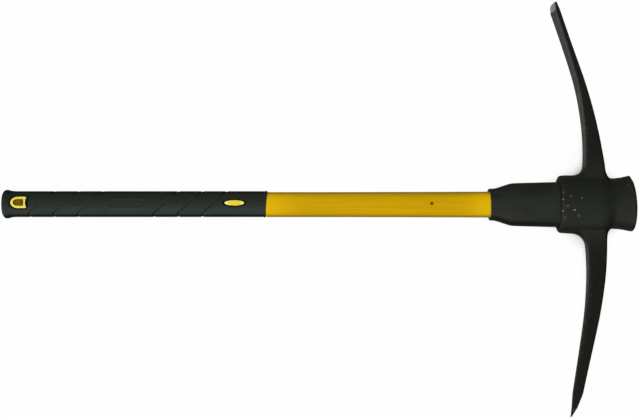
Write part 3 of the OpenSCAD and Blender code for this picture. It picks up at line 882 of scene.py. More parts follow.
def cut_groove(ring, deep, left):
    """Sinks a ring of the grip into a groove: deepest at the sides, shallow on the chisel side of
    the front and back, where only a part of the depth is left."""
    for k, vert in enumerate(ring):
        angle = math.tau * k / len(ring)
        across, up = math.cos(angle), math.sin(angle)
        change = ease((across - GROOVE_CHANGE[0]) / (GROOVE_CHANGE[1] - GROOVE_CHANGE[0]))
        level = left * blend(GROOVE_LOW_SHARE, GROOVE_HIGH_SHARE, change)
        sunk = deep * blend(level, GROOVE_SIDE_SHARE, across ** 4)
        vert.co.y -= sunk * across
        vert.co.z -= sunk * up


def slant_share(grip, along):
    """How far a row leans with the grooves: not at all at both ends of the grip."""
    last = groove_places(grip)[-1][0] + grip.groove_w * 2
    leaning = ease((along - SLANT_START) / (SLANT_FULL - SLANT_START))
    return leaning * ease(1 - (along - last) / SLANT_RUN_OUT)


# Length of the round nose as a share of half the width, and powers that shape the far end
NOSE_SHARE = 1.3
SQUARE_POWER = 0.16
HOLLOW_POWER = 1.5


def round_nosed(angle, long, wide, hollow):
    """Outline with a round nose at zero and a square, hollow far end."""
    half, nose = wide / 2, NOSE_SHARE * wide / 2
    c, s = math.cos(angle), math.sin(angle)
    if c <= 0:
        return nose + nose * c, half * s
    end, y = c ** SQUARE_POWER, half * fuller(s, SQUARE_POWER)
    return nose + (long - nose - hollow * (1 - (y / half) ** 2) ** HOLLOW_POWER) * end, y


def eyelet_outline(angle, grow, side=1):
    """Eyelet's outline, grown by a gap, in the frame, the same on both sides."""
    trim = settings().trim
    long, wide = eyelet_high.x - eyelet_low.x, eyelet_high.y - eyelet_low.y
    x, y = round_nosed(angle, long + 2 * grow, wide + 2 * grow, trim.hollow)
    return eyelet_low.x + trim.set_in - grow + x, TRIM_Y + trim.set_over + y


def hole_outline(angle, grow, side):
    """Hang hole's outline in front or at the back, grown by a rounding, in the frame."""
    trim = settings().trim
    draft = 0.0 if side > 0 else trim.hole_draft
    x, y = round_nosed(angle, trim.hole_len - draft + 2 * grow, trim.hole_w + 2 * grow, 0.0)
    return eyelet_low.x + trim.set_in + trim.hole_at + draft - grow + x, TRIM_Y + trim.set_over + y


# Steps into the eyelet's seat: growth past the gap, and depth under the rubber
SEAT_STEPS = ((0.8 * MM, 0.0), (0.3 * MM, 0.12 * MM), (0.0, 0.6 * MM), (0.0, 2 * MM), (-1.2 * MM, 4 * MM))
# Painted shade at the seat's rim, of 1 inside it
SEAT_EDGE_SHADE = 0.6


def cut_eyelet_seat(bm, rows, grip, trim):
    """Opens the grip from front to back for the eyelet."""
    shade = bm.verts.layers.float["trim_shade"]
    sides = len(rows[0])
    mouths = []
    for side in (1, -1):
        middle = sides // 4 if side > 0 else sides - sides // 4
        columns = [middle + side * k for k in range(EYELET_COLUMNS[0], EYELET_COLUMNS[1] + 1)]
        block = open_block(bm, rows, columns)
        across = len(columns) - 1
        turns = [math.atan2(1 - 2 * j / across, 2 * i / EYELET_ROWS - 1) for _, i, j in block]
        ring = [vert for vert, _, _ in block]
        for grow, deep in SEAT_STEPS:
            if deep:
                ring = extrude_ring(bm, ring)
            for vert, angle in zip(ring, turns):
                x, y = eyelet_outline(angle, trim.gap + grow)
                vert.co = (x, y, AXIS_Z + side * (grip_height(grip, x, y) - deep))
                vert[shade] = 1.0 if deep else SEAT_EDGE_SHADE
        mouths.append(ring)
    join_rings(bm, *mouths)


def capsule_distance(x, y, long, wide):
    """Distance outside a bar with round ends, less than zero inside."""
    return math.hypot(max(0.0, abs(x) - (long - wide) / 2), y) - wide / 2


# Widths of the pressed shapes' edges, and how far round them the mesh is made finer
PANEL_EDGE = 0.9 * MM
SEAT_EDGE = 0.7 * MM
SHADE_EDGE = 1 * MM
PRESS_REACH = 3 * MM
PRESS_CUTS = 3


def press_front(bm, grip, trim):
    """Presses the bare panel, the moulding dimple and the inlay's seat into the front."""
    inlay_x = (inlay_low.x + inlay_high.x) / 2
    inlay_half = (inlay_high.x - inlay_low.x) / 2 + trim.gap
    inlay_wide = (inlay_high.y - inlay_low.y) / 2 + trim.gap
    dimple = grip.dimple_dia / 2

    def seat_distance(x, y):
        power = 2 / INLAY_OVAL
        ring = (abs((x - inlay_x) / inlay_half) ** power + abs(y / inlay_wide) ** power) ** (1 / power)
        return (ring - 1) * inlay_wide

    def depth_at(x, y):
        panel = capsule_distance(x - BUTT_X - grip.panel_at, y, grip.panel_len, grip.panel_w)
        pin = math.hypot(x - BUTT_X - grip.dimple_at, y) - dimple
        return (grip.panel_deep * ease(-panel / PANEL_EDGE) + grip.dimple_deep * ease(-pin / dimple)
                + trim.seat * ease(-seat_distance(x, y) / SEAT_EDGE))

    def within(x, y, half, wide):
        return abs(x) < half + PRESS_REACH and abs(y) < wide + PRESS_REACH

    def near(vert):
        x, y = vert.co.x, vert.co.y - TRIM_Y
        along = x - BUTT_X
        pressed = (within(along - grip.panel_at, y, grip.panel_len / 2, grip.panel_w / 2)
                   or math.hypot(along - grip.dimple_at, y) < dimple + PRESS_REACH
                   or within(x - inlay_x, y, inlay_half, inlay_wide))
        return pressed and vert.co.z >= AXIS_Z

    faces = [f for f in bm.faces if all(near(v) for v in f.verts)]
    edges = list({e for f in faces for e in f.edges})
    bmesh.ops.subdivide_edges(bm, edges=edges, cuts=PRESS_CUTS, use_grid_fill=True)
    bm.normal_update()
    shade = bm.verts.layers.float["trim_shade"]
    for vert in bm.verts:
        if near(vert):
            x, y = vert.co.x, vert.co.y - TRIM_Y
            # Painted shade in a band round the inlay's seat
            vert[shade] = ease(1 - seat_distance(x, y) / SHADE_EDGE)
            deep = depth_at(x, y)
            if deep:
                vert.co -= vert.normal * deep


# Section of the lip at the mouth: shares of its length before the mouth, and of its rise
LIP_SHARES = ((1.15, 0.0), (1.0, 0.35), (0.8, 1.0), (0.3, 1.0), (0.06, 0.7))
# How much smaller the mouth's inner edge is than the shaft, and the step that keeps the bore's ends crisp
MOUTH_TUCK = 2 * MM
NECK_STEP = 1 * MM


class PICKAXE_OT_grip(bpy.types.Operator):
    """Mould the rubber grip: end bead, slanting grooves, bare panel and lip"""

    bl_idname = "pickaxe.grip"
    bl_label = "Rubber grip"
    sides = 64

    def execute(self, context):
        s = settings()
        grip, trim = s.grip, s.trim
        lean = (math.tan(grip.groove_lean), -math.tan(grip.groove_tilt) / math.cos(grip.groove_lean))
        outside, first = grip_rows(grip)
        skin = [(BUTT_X - grip.butt_more, grip.butt_flat / 3, grip.butt_flat / 3)]
        for along, _, _ in outside:
            size = grip_size(grip, along)
            slant = slant_share(grip, along)
            x = BUTT_X + along - grip.butt_more * max(0.0, 1 - along / grip.bead_len)
            skin.append((x, *size, HANDLE_OVAL, (lean[0] * slant, lean[1] * slant)))
        body = Vector((grip.width, grip.depth))
        shaft = Vector((s.shaft.grip_w, s.shaft.depth))
        neck = Vector((s.shaft.neck_w, s.shaft.neck_d))
        mouth_x, mouth_lean = GRIP_MOUTH_X + grip.mouth_set, (grip.mouth_lean, 0.0)
        for t, rise in LIP_SHARES:
            size = body + alike(2 * rise * grip.lip_rise)
            skin.append((mouth_x - t * grip.lip_len, *size, HANDLE_OVAL, mouth_lean))
        outer = len(skin)
        skin.append((mouth_x, *(shaft - alike(MOUTH_TUCK)), HANDLE_OVAL, mouth_lean))
        for x in (GRIP_MOUTH_X, GRIP_MOUTH_X - NECK_STEP, jacket_low.x + NECK_STEP, jacket_low.x):
            skin.append((x, *neck))
        skin.append((jacket_low.x, *(END_RING_SHARE * neck)))
        bm = bmesh.new()
        bm.verts.layers.float.new("trim_shade")
        rows = loft(bm, self.sides, skin)
        for ring, (_, deep, left) in zip(rows[1:], outside):
            cut_groove(ring, deep, left)
        bmesh.ops.translate(bm, vec=(0.0, grip.set_over, 0.0), verts=verts_of(rows[:outer]))
        close_ring(bm, rows[0])
        close_ring(bm, rows[-1])
        cut_eyelet_seat(bm, rows[first + 1:first + EYELET_ROWS + 2], grip, trim)
        press_front(bm, grip, trim)
        make_piece(bm, "ribbed_grip", grip_rubber(s), "handle", "rubber_grip")
        return {"FINISHED"}


# Depth of the first ring in the eyelet's walls
EYELET_WALL_STEP = 4 * MM


class PICKAXE_OT_eyelet(bpy.types.Operator):
    """Mould the yellow eyelet that lines the hang hole"""

    bl_idname = "pickaxe.eyelet"
    bl_label = "Hang hole eyelet"
    sides = 48

    def execute(self, context):
        s = settings()
        grip, trim = s.grip, s.trim
        lip = [(trim.lip * (1 - math.cos(a)), trim.lip * (math.sin(a) - 1)) for a in quarter(EDGE_STEPS)]
        profile = [(0.0, -EYELET_WALL_STEP)] + lip
        bm = bmesh.new()
        pale = bm.verts.layers.float.new("highlight_edge")
        rows = [start_ring(bm, self.sides)]
        turns = [math.tau * k / self.sides for k in range(self.sides)]

        def put(ring, outline, inset, drop, side):
            for vert, angle in zip(ring, turns):
                x, y = outline(angle, inset, side)
                vert.co = (x, y, AXIS_Z + side * (grip_height(grip, x, y) + drop))
                # Painted highlight on the eyelet's outer edge, none in the hole
                vert[pale] = 1.0 if outline is eyelet_outline else 0.0

        for side in (1, -1):
            steps = [(eyelet_outline, -inset, drop) for inset, drop in profile]
            steps += [(hole_outline, inset, drop) for inset, drop in reversed(profile)]
            for outline, grow, drop in steps if side > 0 else reversed(steps):
                put(rows[-1], outline, grow, drop, side)
                rows.append(extrude_ring(bm, rows[-1]))
        bmesh.ops.delete(bm, geom=rows[-1], context="VERTS")
        join_rings(bm, rows[0], rows[-2])
        make_piece(bm, "hang_eyelet", trim_yellow(s), "handle", "hang_hole_insert")
        return {"FINISHED"}


INLAY_OVAL = 0.98
# Section of the inlay: shares of its size with shares of its seat's depth, then with heights over the rubber
INLAY_UNDER_SHARES = ((0.4, -1.0), (0.97, -1.0), (1.0, -0.9))
INLAY_FACE = ((1.0, -0.35 * MM), (0.985, -0.12 * MM), (0.94, 0.02 * MM), (0.8, 0.08 * MM),
              (0.45, 0.12 * MM), (0.15, 0.12 * MM))
# Painted highlight at the inlay's ends: strength, and shares of its half length where they start and how far
# they run
HIGHLIGHT_ENDS = 1.6
HIGHLIGHT_ENDS_SHARE = 0.62
HIGHLIGHT_ENDS_RUN_SHARE = 0.2


class PICKAXE_OT_inlay(bpy.types.Operator):
    """Mould the oval that is set into the front of the grip"""

    bl_idname = "pickaxe.inlay"
    bl_label = "Oval inlay"
    sides = 48

    def execute(self, context):
        s = settings()
        grip, trim = s.grip, s.trim
        half = (inlay_high.x - inlay_low.x) / 2 - trim.inlay_less
        wide = (inlay_high.y - inlay_low.y) / 2 - trim.inlay_slim
        middle = (inlay_low.x + inlay_high.x) / 2
        level = TRIM_Y + trim.inlay_over
        profile = [(size, under * trim.seat) for size, under in INLAY_UNDER_SHARES] + list(INLAY_FACE)
        bm = bmesh.new()
        pale = bm.verts.layers.float.new("highlight_edge")
        rows = [start_ring(bm, self.sides)]
        for _ in profile[1:]:
            rows.append(extrude_ring(bm, rows[-1]))
        for ring, (size, drop) in zip(rows, profile):
            inset = (1 - size) * wide
            for k, vert in enumerate(ring):
                angle = math.tau * k / self.sides
                x = (half - inset) * fuller(math.cos(angle), INLAY_OVAL)
                y = (wide - inset) * fuller(math.sin(angle), INLAY_OVAL)
                rise = trim.crown * (1 - (x / half) ** 2) if drop > -trim.seat / 2 else 0.0
                high = grip_height(grip, middle + x, level + y)
                vert.co = (middle + x, level + y, AXIS_Z + high + drop + rise)
                vert[pale] = HIGHLIGHT_ENDS * ease((abs(x) / half - HIGHLIGHT_ENDS_SHARE) / HIGHLIGHT_ENDS_RUN_SHARE)
        close_ring(bm, rows[0])
        close_ring(bm, rows[-1])
        make_piece(bm, "oval_inlay", trim_yellow(s), "handle", "grip_inlay")
        return {"FINISHED"}


# Finishes


class NodeBench:
    """Node tree of a material or of the world, under construction."""

    def __init__(self, owner):
        owner.use_nodes = True
        self.tree = owner.node_tree
        self.tree.nodes.clear()

    def feed(self, node, inputs):
        """Links the values that are outputs, and sets the others as constants."""
        for key, value in inputs.items():
            if isinstance(value, bpy.types.NodeSocket):
                self.tree.links.new(value, node.inputs[key])
            else:
                node.inputs[key].default_value = value

    def node(self, kind, inputs=None, **options):
        made = self.tree.nodes.new(kind)
        for name, value in options.items():
            setattr(made, name, value)
        self.feed(made, inputs or {})
        return made

    def math(self, operation, a, b=0.0):
        return self.node("ShaderNodeMath", {0: a, 1: b}, operation=operation).outputs[0]

    def times(self, first, *others):
        """Product of values."""
        for other in others:
            first = self.math("MULTIPLY", first, other)
        return first

    def largest(self, first, *others):
        for other in others:
            first = self.math("MAXIMUM", first, other)
        return first

    def ramp(self, value, low, high, to_low=0.0, to_high=1.0):
        """Eased change of a value between two levels."""
        made = self.node("ShaderNodeMapRange", {"Value": value, "From Min": low, "From Max": high,
                                                "To Min": to_low, "To Max": to_high},
                         interpolation_type="SMOOTHSTEP")
        return made.outputs["Result"]

    def coordinate(self, kind, axis):
        source = self.node("ShaderNodeTexCoord").outputs[kind]
        return self.node("ShaderNodeSeparateXYZ", {0: source}).outputs[axis]

    def axis(self, name):
        """One Object coordinate."""
        return self.coordinate("Object", name)

    def facing(self, name):
        """How far the surface faces along one axis of the object."""
        return self.coordinate("Normal", name)


class Finish(NodeBench):
    """A material under construction on one Principled shader and Object coordinates."""

    def __init__(self, name):
        self.material = bpy.data.materials.get(name) or bpy.data.materials.new(name)
        super().__init__(self.material)
        self.shader = self.node("ShaderNodeBsdfPrincipled")
        self.node("ShaderNodeOutputMaterial", {"Surface": self.shader.outputs["BSDF"]})
        self.place = self.node("ShaderNodeTexCoord").outputs["Object"]

    def noise(self, grain, detail=3.0, rough=0.55, stretch=(1.0, 1.0, 1.0)):
        """Noise whose blotches are about grain metres across, longer where stretch is more than 1."""
        scale = [1 / (grain * s) for s in stretch]
        mapped = self.node("ShaderNodeMapping", {"Vector": self.place, "Scale": scale})
        made = self.node("ShaderNodeTexNoise", {"Vector": mapped.outputs["Vector"], "Scale": 1.0,
                                                "Detail": detail, "Roughness": rough})
        return made.outputs["Fac"]

    def mix(self, amount, a, b):
        """Colour between a and b."""
        return self.node("ShaderNodeMix", {0: amount, 6: a, 7: b}, data_type="RGBA").outputs[2]

    def mix_value(self, amount, a, b):
        return self.node("ShaderNodeMix", {0: amount, 2: a, 3: b}, data_type="FLOAT").outputs[0]

    def attribute(self, name):
        """A value that the piece's own vertices carry."""
        return self.node("ShaderNodeAttribute", attribute_name=name).outputs["Fac"]

    def distance(self, x, y):
        """Distance from an upright line through x and y."""
        far_x = self.math("SUBTRACT", self.axis("X"), x)
        far_y = self.math("SUBTRACT", self.axis("Y"), y)
        return self.math("SQRT", self.math("ADD", self.times(far_x, far_x), self.times(far_y, far_y)))

    def in_front(self):
        """1 on the front half of the tool, 0 on its back."""
        return self.math("GREATER_THAN", self.axis("Z"), AXIS_Z)

    def upright(self):
        """1 on the front and the back, 0 on the sides."""
        return self.math("ABSOLUTE", self.facing("Z"))

    def bump(self, height, distance, under=None):
        inputs = {"Height": height, "Distance": distance, "Strength": 1.0}
        if under is not None:
            inputs["Normal"] = under
        return self.node("ShaderNodeBump", inputs).outputs["Normal"]

    def set(self, **values):
        """Feeds the shader's sockets, whose names have underscores for spaces here."""
        self.feed(self.shader, {name.replace("_", " "): value for name, value in values.items()})
        return self.material


def tint(value, strength=1.0):
    """A colour for a socket, paler or darker by a factor."""
    return (*(strength * v for v in value), 1.0)


# How far noise is drawn out: along the handle, across the chisel's ground face, and along the point
ALONG_SLEEVE = (5.0, 1.0, 1.0)
ALONG_GRIP = (2.2, 1.0, 1.0)
ALONG_SHAFT = (70.0, 1.0, 1.0)
ALONG_CLOUDS = (3.0, 1.0, 1.0)
ALONG_WAVES = (4.0, 1.0, 1.0)
ALONG_STRANDS = (60.0, 1.0, 1.0)
GRIND_STRETCH = (0.35, 0.6, 14.0)
BARE_STRETCH = (0.6, 2.0, 0.6)

# Head: blotches of its paint and heights of its relief
PIT_GRAIN = 7 * MM
PIT_RELIEF = 0.4 * MM
CLOUD_GRAIN = 26 * MM
GRIT_GRAIN = 1.6 * MM
GRIT_RELIEF = 0.12 * MM
RUB_GRAIN = 5 * MM
FRAY_GRAIN = 1.5 * MM
FRAY = 0.8 * MM
GRIND_GRAIN = 1.2 * MM
GRIND_RELIEF = 0.08 * MM
# Head: distances from the handle axis at which its painted light starts and is full
EYE_LIGHT_FROM, EYE_LIGHT_FULL = 78 * MM, 30 * MM
INNER_LIGHT_FROM, INNER_LIGHT_FULL = 46 * MM, 60 * MM
POINT_INNER_LIGHT_FROM, POINT_INNER_LIGHT_FULL = 180 * MM, 70 * MM
ARMS_APART = 20 * MM
INNER_LIGHT_BACK, INNER_LIGHT_FRONT = 11 * MM, 8 * MM
# Head: edges of the ground ends, and the place of the bare point and of the blade's sides as shares
RAG_GRAIN = 3 * MM
RAG = 1.2 * MM
CHISEL_FADE = 0.2 * MM
POINT_FADE = 9 * MM
BARE_GRAIN = 4 * MM
BARE_POINT_SHARE = 0.5
BLADE_SIDE_SHARES = (0.5, 0.36)
# Knocks in the paint beside the rim: distance from the rim, distance from the handle axis, radius, strength
CHIPS = ((1.8 * MM, -9 * MM, 1.5 * MM, 0.35), (2.6 * MM, 7.5 * MM, 1.5 * MM, 0.6),
         (3.4 * MM, 17 * MM, 1.4 * MM, 0.2), (5.2 * MM, -18 * MM, 1.5 * MM, 0.26),
         (8.6 * MM, -1.5 * MM, 2.2 * MM, 0.2), (13.5 * MM, 12 * MM, 1.6 * MM, 0.3),
         (18.2 * MM, -7.5 * MM, 1.5 * MM, 0.75), (24.5 * MM, -15.5 * MM, 2.2 * MM, 0.2),
         (28.8 * MM, 9 * MM, 1.6 * MM, 0.24))
CHIP_CORE_SHARE = 0.4


def lit_inner_faces(f, out, cloud):
    """Painted light on the arms' inner faces, which face the key light: less towards the point and towards
    the back.
    """
    y, z = f.axis("Y"), f.axis("Z")
    inner = f.times(f.ramp(f.facing("X"), -0.72, -0.93), f.ramp(out, INNER_LIGHT_FROM, INNER_LIGHT_FULL))
    on_point = f.ramp(y, AXIS_Y - POINT_INNER_LIGHT_FROM, AXIS_Y - POINT_INNER_LIGHT_FULL, 0.1, 1.15)
    fading = f.mix_value(f.ramp(y, AXIS_Y - ARMS_APART, AXIS_Y + ARMS_APART), on_point, 1.0)
    fading = f.times(fading, f.ramp(z, AXIS_Z - INNER_LIGHT_BACK, AXIS_Z + INNER_LIGHT_FRONT, 0.38, 0.85))
    return f.times(inner, fading, f.ramp(cloud, 0.25, 0.7, 0.6, 1.0))


def paint_chips(f, eye):
    """Frayed chips on the front of the cheek."""
    fray = f.ramp(f.noise(FRAY_GRAIN, 2), 0.3, 0.7, -FRAY, FRAY)
    chips = 0.0
    for along, across, radius, strength in CHIPS:
        far = f.math("ADD", f.distance(CROWN_X - eye.length + along, AXIS_Y + across), fray)
        chips = f.largest(chips, f.ramp(far, radius, CHIP_CORE_SHARE * radius, 0.0, strength))
    return f.times(chips, f.in_front())


def ground_ends(f, chisel, point):
    """Bare steel on the chisel's ground face, and in patches at the point."""
    chisel_line = AXIS_Y + CHISEL_REACH - chisel.ground_len
    point_line = AXIS_Y - POINT_REACH + BARE_POINT_SHARE * point.ground_len
    level = f.math("ADD", f.axis("Y"), f.ramp(f.noise(RAG_GRAIN, 3), 0.0, 1.0, -RAG, RAG))
    aside = f.math("ABSOLUTE", f.math("SUBTRACT", f.axis("Z"), AXIS_Z))
    blade = f.ramp(aside, *(side * chisel.tip_d for side in BLADE_SIDE_SHARES))
    chisel_end = f.times(f.ramp(level, chisel_line - CHISEL_FADE, chisel_line + CHISEL_FADE), blade,
                         f.ramp(f.upright(), 0.8, 0.5))
    patches = f.ramp(f.noise(BARE_GRAIN, 3, 0.5, BARE_STRETCH), 0.5, 0.62)
    point_end = f.times(f.ramp(level, point_line, point_line - POINT_FADE), patches, 0.4)
    return f.math("ADD", chisel_end, point_end)


def head_paint(s):
    """Satin black paint on forged steel with rubbed edges and bare ground ends, and painted light and shade.
    """
    f = Finish("head_paint")
    c = s.colours
    out = f.math("ABSOLUTE", f.math("SUBTRACT", f.axis("Y"), AXIS_Y))
    pits = f.noise(PIT_GRAIN, 5, 0.6)
    cloud = f.noise(CLOUD_GRAIN, 4)
    # Painted shade: darker paint on the sides and on the faces turned towards the crown
    unshaded = f.times(f.ramp(f.upright(), 0.25, 0.65), f.ramp(f.facing("X"), 0.02, 0.32, 1.0, 0.0))
    base = f.mix(unshaded, tint(c.paint, 0.42), tint(c.paint))
    # Painted light: paler paint round the eye, most where the front turns a little towards the point and the
    # light
    point_side = f.ramp(f.facing("Y"), -0.75, -0.45, 0.1, 1.0)
    lit_side = f.times(f.ramp(f.facing("Y"), 0.6, -0.35, 0.25, 1.0), point_side)
    near_eye = f.times(f.ramp(out, EYE_LIGHT_FROM, EYE_LIGHT_FULL), f.ramp(cloud, 0.2, 0.62, 0.72, 1.0))
    base = f.mix(f.times(near_eye, lit_side, unshaded), base, tint(c.paint_lit_eye))
    # Painted light on the arms' inner faces
    base = f.mix(lit_inner_faces(f, out, cloud), base, tint(c.paint_lit_inner))
    # Chips and rubbed edges
    rubbed = f.times(f.attribute("edge_wear"), f.ramp(f.noise(RUB_GRAIN, 5, 0.7), 0.5, 0.75, 0.0, 0.12))
    base = f.mix(f.largest(paint_chips(f, s.eye), rubbed), base, tint(c.chip))
    # Ground ends with the marks of the wheel
    ground = ground_ends(f, s.chisel, s.point)
    grind = f.noise(GRIND_GRAIN, 2, 0.5, GRIND_STRETCH)
    steel = f.mix(f.ramp(grind, 0.3, 0.7), tint(c.steel, 0.45), tint(c.steel))
    base = f.mix(ground, base, steel)
    rough = f.mix_value(ground, f.ramp(pits, 0.3, 0.7, 0.42, 0.6), 0.45)
    normal = f.bump(f.noise(GRIT_GRAIN, 4, 0.65), GRIT_RELIEF, f.bump(pits, PIT_RELIEF))
    normal = f.bump(f.times(grind, ground), GRIND_RELIEF, normal)
    return f.set(Base_Color=base, Roughness=rough, Metallic=f.times(ground, 0.6), Normal=normal,
                 Specular_IOR_Level=0.025)


# Sleeve: flow marks, broad waves and grain of the mould
FLOW_GRAIN = 14 * MM
SLEEVE_WAVE_GRAIN = 22 * MM
SLEEVE_WAVE_RELIEF = 0.2 * MM
SLEEVE_GRAIN = 0.7 * MM
SLEEVE_GRAIN_RELIEF = 0.06 * MM


def sleeve_plastic(s):
    """Black moulded plastic with a fine matte grain and faint flow marks along the handle."""
    f = Finish("sleeve_plastic")
    c = s.colours
    flow = f.noise(FLOW_GRAIN, 4, 0.6, ALONG_SLEEVE)
    # Painted light and shade: darker on the upper side, at the lower edge and on the flare, as lit and shaded
    # copies of one colour
    point_side = f.ramp(f.facing("Y"), -0.75, -0.42, 0.1, 1.0)
    flare_side = f.ramp(f.facing("X"), -0.3, -0.08, 0.72, 1.0)
    lit_side = f.times(f.ramp(f.facing("Y"), 0.5, -0.35, 0.55, 1.0), point_side, flare_side)
    tone = f.times(f.ramp(flow, 0.3, 0.7, 0.6, 1.0), lit_side)
    base = f.mix(tone, tint(c.sleeve, 0.28), tint(c.sleeve, 1.3))
    rough = f.ramp(flow, 0.3, 0.7, 0.52, 0.64)
    waves = f.bump(f.noise(SLEEVE_WAVE_GRAIN, 2), SLEEVE_WAVE_RELIEF)
    normal = f.bump(f.noise(SLEEVE_GRAIN, 2, 0.5), SLEEVE_GRAIN_RELIEF, waves)
    return f.set(Base_Color=base, Roughness=rough, Normal=normal, Specular_IOR_Level=0.018)


# Shaft: streaks, clouds and waves along it, lengths of its ends with painted light, and the reach of the
# painted shade in the pin hole
STREAK_GRAIN = 2.4 * MM
STREAK_RELIEF = 0.05 * MM
SHAFT_CLOUD_GRAIN = 40 * MM
SHAFT_WAVE_GRAIN = 30 * MM
SHAFT_WAVE_RELIEF = 0.2 * MM
BRIGHT_AT_GRIP = 55 * MM
BRIGHT_AT_HEAD = 45 * MM
PIN_SHADE_SHARES = (1.15, 0.8)


def shaft_yellow(s):
    """Yellow moulded jacket with a soft gloss and faint lengthwise streaks."""
    f = Finish("shaft_yellow")
    c = s.colours
    streak = f.noise(STREAK_GRAIN, 4, 0.6, ALONG_SHAFT)
    cloud = f.noise(SHAFT_CLOUD_GRAIN, 3, 0.5, ALONG_CLOUDS)
    mixed = f.math("ADD", f.times(streak, 0.6), f.times(cloud, 0.4))
    base = f.mix(f.ramp(mixed, 0.36, 0.62), tint(c.shaft_dark), tint(c.shaft))
    # Painted light: brighter jacket near both ends
    near_grip = f.ramp(f.axis("X"), GRIP_MOUTH_X + BRIGHT_AT_GRIP, GRIP_MOUTH_X)
    near_head = f.ramp(f.axis("X"), SLEEVE_MOUTH_X - BRIGHT_AT_HEAD, SLEEVE_MOUTH_X)
    base = f.mix(f.largest(near_grip, near_head), base, tint(c.shaft_lit_ends))
    # Painted shade: darker on the sides, reaching further in on the point side
    unshaded = f.times(f.ramp(f.upright(), 0.38, 0.76), f.ramp(f.facing("Y"), -0.95, -0.6, 0.5, 1.0))
    base = f.mix(unshaded, tint(c.shaft, 0.55), base)
    # Painted shade in the pin hole
    far = f.distance(CROWN_X - s.shaft.pin_at, PIN_Y)
    in_hole = f.ramp(far, *(reach * s.shaft.pin_dia / 2 for reach in PIN_SHADE_SHARES))
    base = f.mix(f.times(in_hole, f.in_front()), base, tint(c.pin_hole_shade))
    rough = f.ramp(streak, 0.3, 0.7, 0.36, 0.48)
    waves = f.bump(f.noise(SHAFT_WAVE_GRAIN, 2, 0.5, ALONG_WAVES), SHAFT_WAVE_RELIEF)
    normal = f.bump(streak, STREAK_RELIEF, waves)
    return f.set(Base_Color=base, Roughness=rough, Normal=normal, Specular_IOR_Level=0.035)


# Grip: rubbed patches, waves and grain of the rubber
HAND_GRAIN = 18 * MM
RUBBER_WAVE_GRAIN = 12 * MM
RUBBER_WAVE_RELIEF = 0.18 * MM
RUBBER_GRAIN = 0.8 * MM
RUBBER_GRAIN_RELIEF = 0.09 * MM


def grip_rubber(s):
    """Matte moulded rubber with a fine grain, paler in patches on the side facing the point as painted light,
    and darker on the sides as painted shade.
    """
    f = Finish("grip_rubber")
    c = s.colours
    rubbed = f.noise(HAND_GRAIN, 5, 0.62, ALONG_GRIP)
    # Painted light: paler rubber in patches on the side facing the point
    tone = f.times(f.ramp(rubbed, 0.3, 0.7, 0.6, 1.0), f.ramp(f.facing("Y"), 0.22, -0.28))
    base = f.mix(tone, tint(c.rubber), tint(c.rubber_dust_and_light))
    # Painted shade: darker on the sides, reaching further in on the point side
    unshaded = f.times(f.ramp(f.upright(), 0.4, 0.74), f.ramp(f.facing("Y"), -0.86, -0.64))
    base = f.mix(unshaded, tint(c.rubber, 0.33), base)
    # Painted shade in the gaps round the trim
    base = f.mix(f.ramp(f.attribute("trim_shade"), 0.4, 0.9), base, tint(c.rubber, 0.12))
    rough = f.ramp(rubbed, 0.35, 0.7, 0.64, 0.76)
    waves = f.bump(f.noise(RUBBER_WAVE_GRAIN, 3), RUBBER_WAVE_RELIEF)
    normal = f.bump(f.noise(RUBBER_GRAIN, 3, 0.6), RUBBER_GRAIN_RELIEF, waves)
    return f.set(Base_Color=base, Roughness=rough, Normal=normal, Specular_IOR_Level=0.015)


# Trim: mould marks and grain, and the heights over the handle axis between which the hole's walls go from
# painted shade to painted light
TRIM_CLOUD_GRAIN = 5 * MM
TRIM_GRAIN = 0.9 * MM
TRIM_GRAIN_RELIEF = 0.04 * MM
WALL_DARK, WALL_BRIGHT = 14 * MM, 2 * MM


def trim_yellow(s):
    """Lemon yellow moulded trim, satin, with faint mould marks."""
    f = Finish("trim_yellow")
    c = s.colours
    cloud = f.noise(TRIM_CLOUD_GRAIN, 3)
    base = f.mix(f.ramp(cloud, 0.35, 0.65), tint(c.trim, 0.93), tint(c.trim))
    # Painted highlight on the eyelet's outer edge and at the inlay's ends
    base = f.mix(f.times(f.attribute("highlight_edge"), 0.6), base, tint(c.trim_highlight))
    # Painted shade on the hole's walls under the front rim, painted light deeper in
    sunk = f.ramp(f.axis("Z"), AXIS_Z + WALL_DARK, AXIS_Z + WALL_BRIGHT)
    wall = f.mix(sunk, tint(c.trim_wall_lit, 0.35), tint(c.trim_wall_lit))
    base = f.mix(f.ramp(f.upright(), 0.3, 0.7), wall, base)
    normal = f.bump(f.noise(TRIM_GRAIN, 2), TRIM_GRAIN_RELIEF)
    return f.set(Base_Color=base, Roughness=f.ramp(cloud, 0.3, 0.7, 0.34, 0.46), Normal=normal,
                 Specular_IOR_Level=0.28)


# Core: thickness and relief of its strands
STRAND_GRAIN = 1.1 * MM
STRAND_RELIEF = 0.1 * MM


def glass_fibre(s):
    """Pultruded glass fibre: pale resin with the cut ends of its strands."""
    f = Finish("glass_fibre")
    c = s.colours
    strands = f.noise(STRAND_GRAIN, 3, 0.6, ALONG_STRANDS)
    base = f.mix(f.ramp(strands, 0.38, 0.62), tint(c.fibre, 0.62), tint(c.fibre))
    return f.set(Base_Color=base, Roughness=f.ramp(strands, 0.3, 0.7, 0.45, 0.65),
                 Normal=f.bump(strands, STRAND_RELIEF), Specular_IOR_Level=0.4)


# Stage

COVER_SAMPLES = 8
WHITE = (1.0, 1.0, 1.0)


def seen_rays(bench):
    """1 for the rays that show the background: to the camera, in reflections and through glass."""
    ray = bench.node("ShaderNodeLightPath").outputs
    return bench.largest(ray["Is Camera Ray"], ray["Is Glossy Ray"], ray["Is Transmission Ray"])


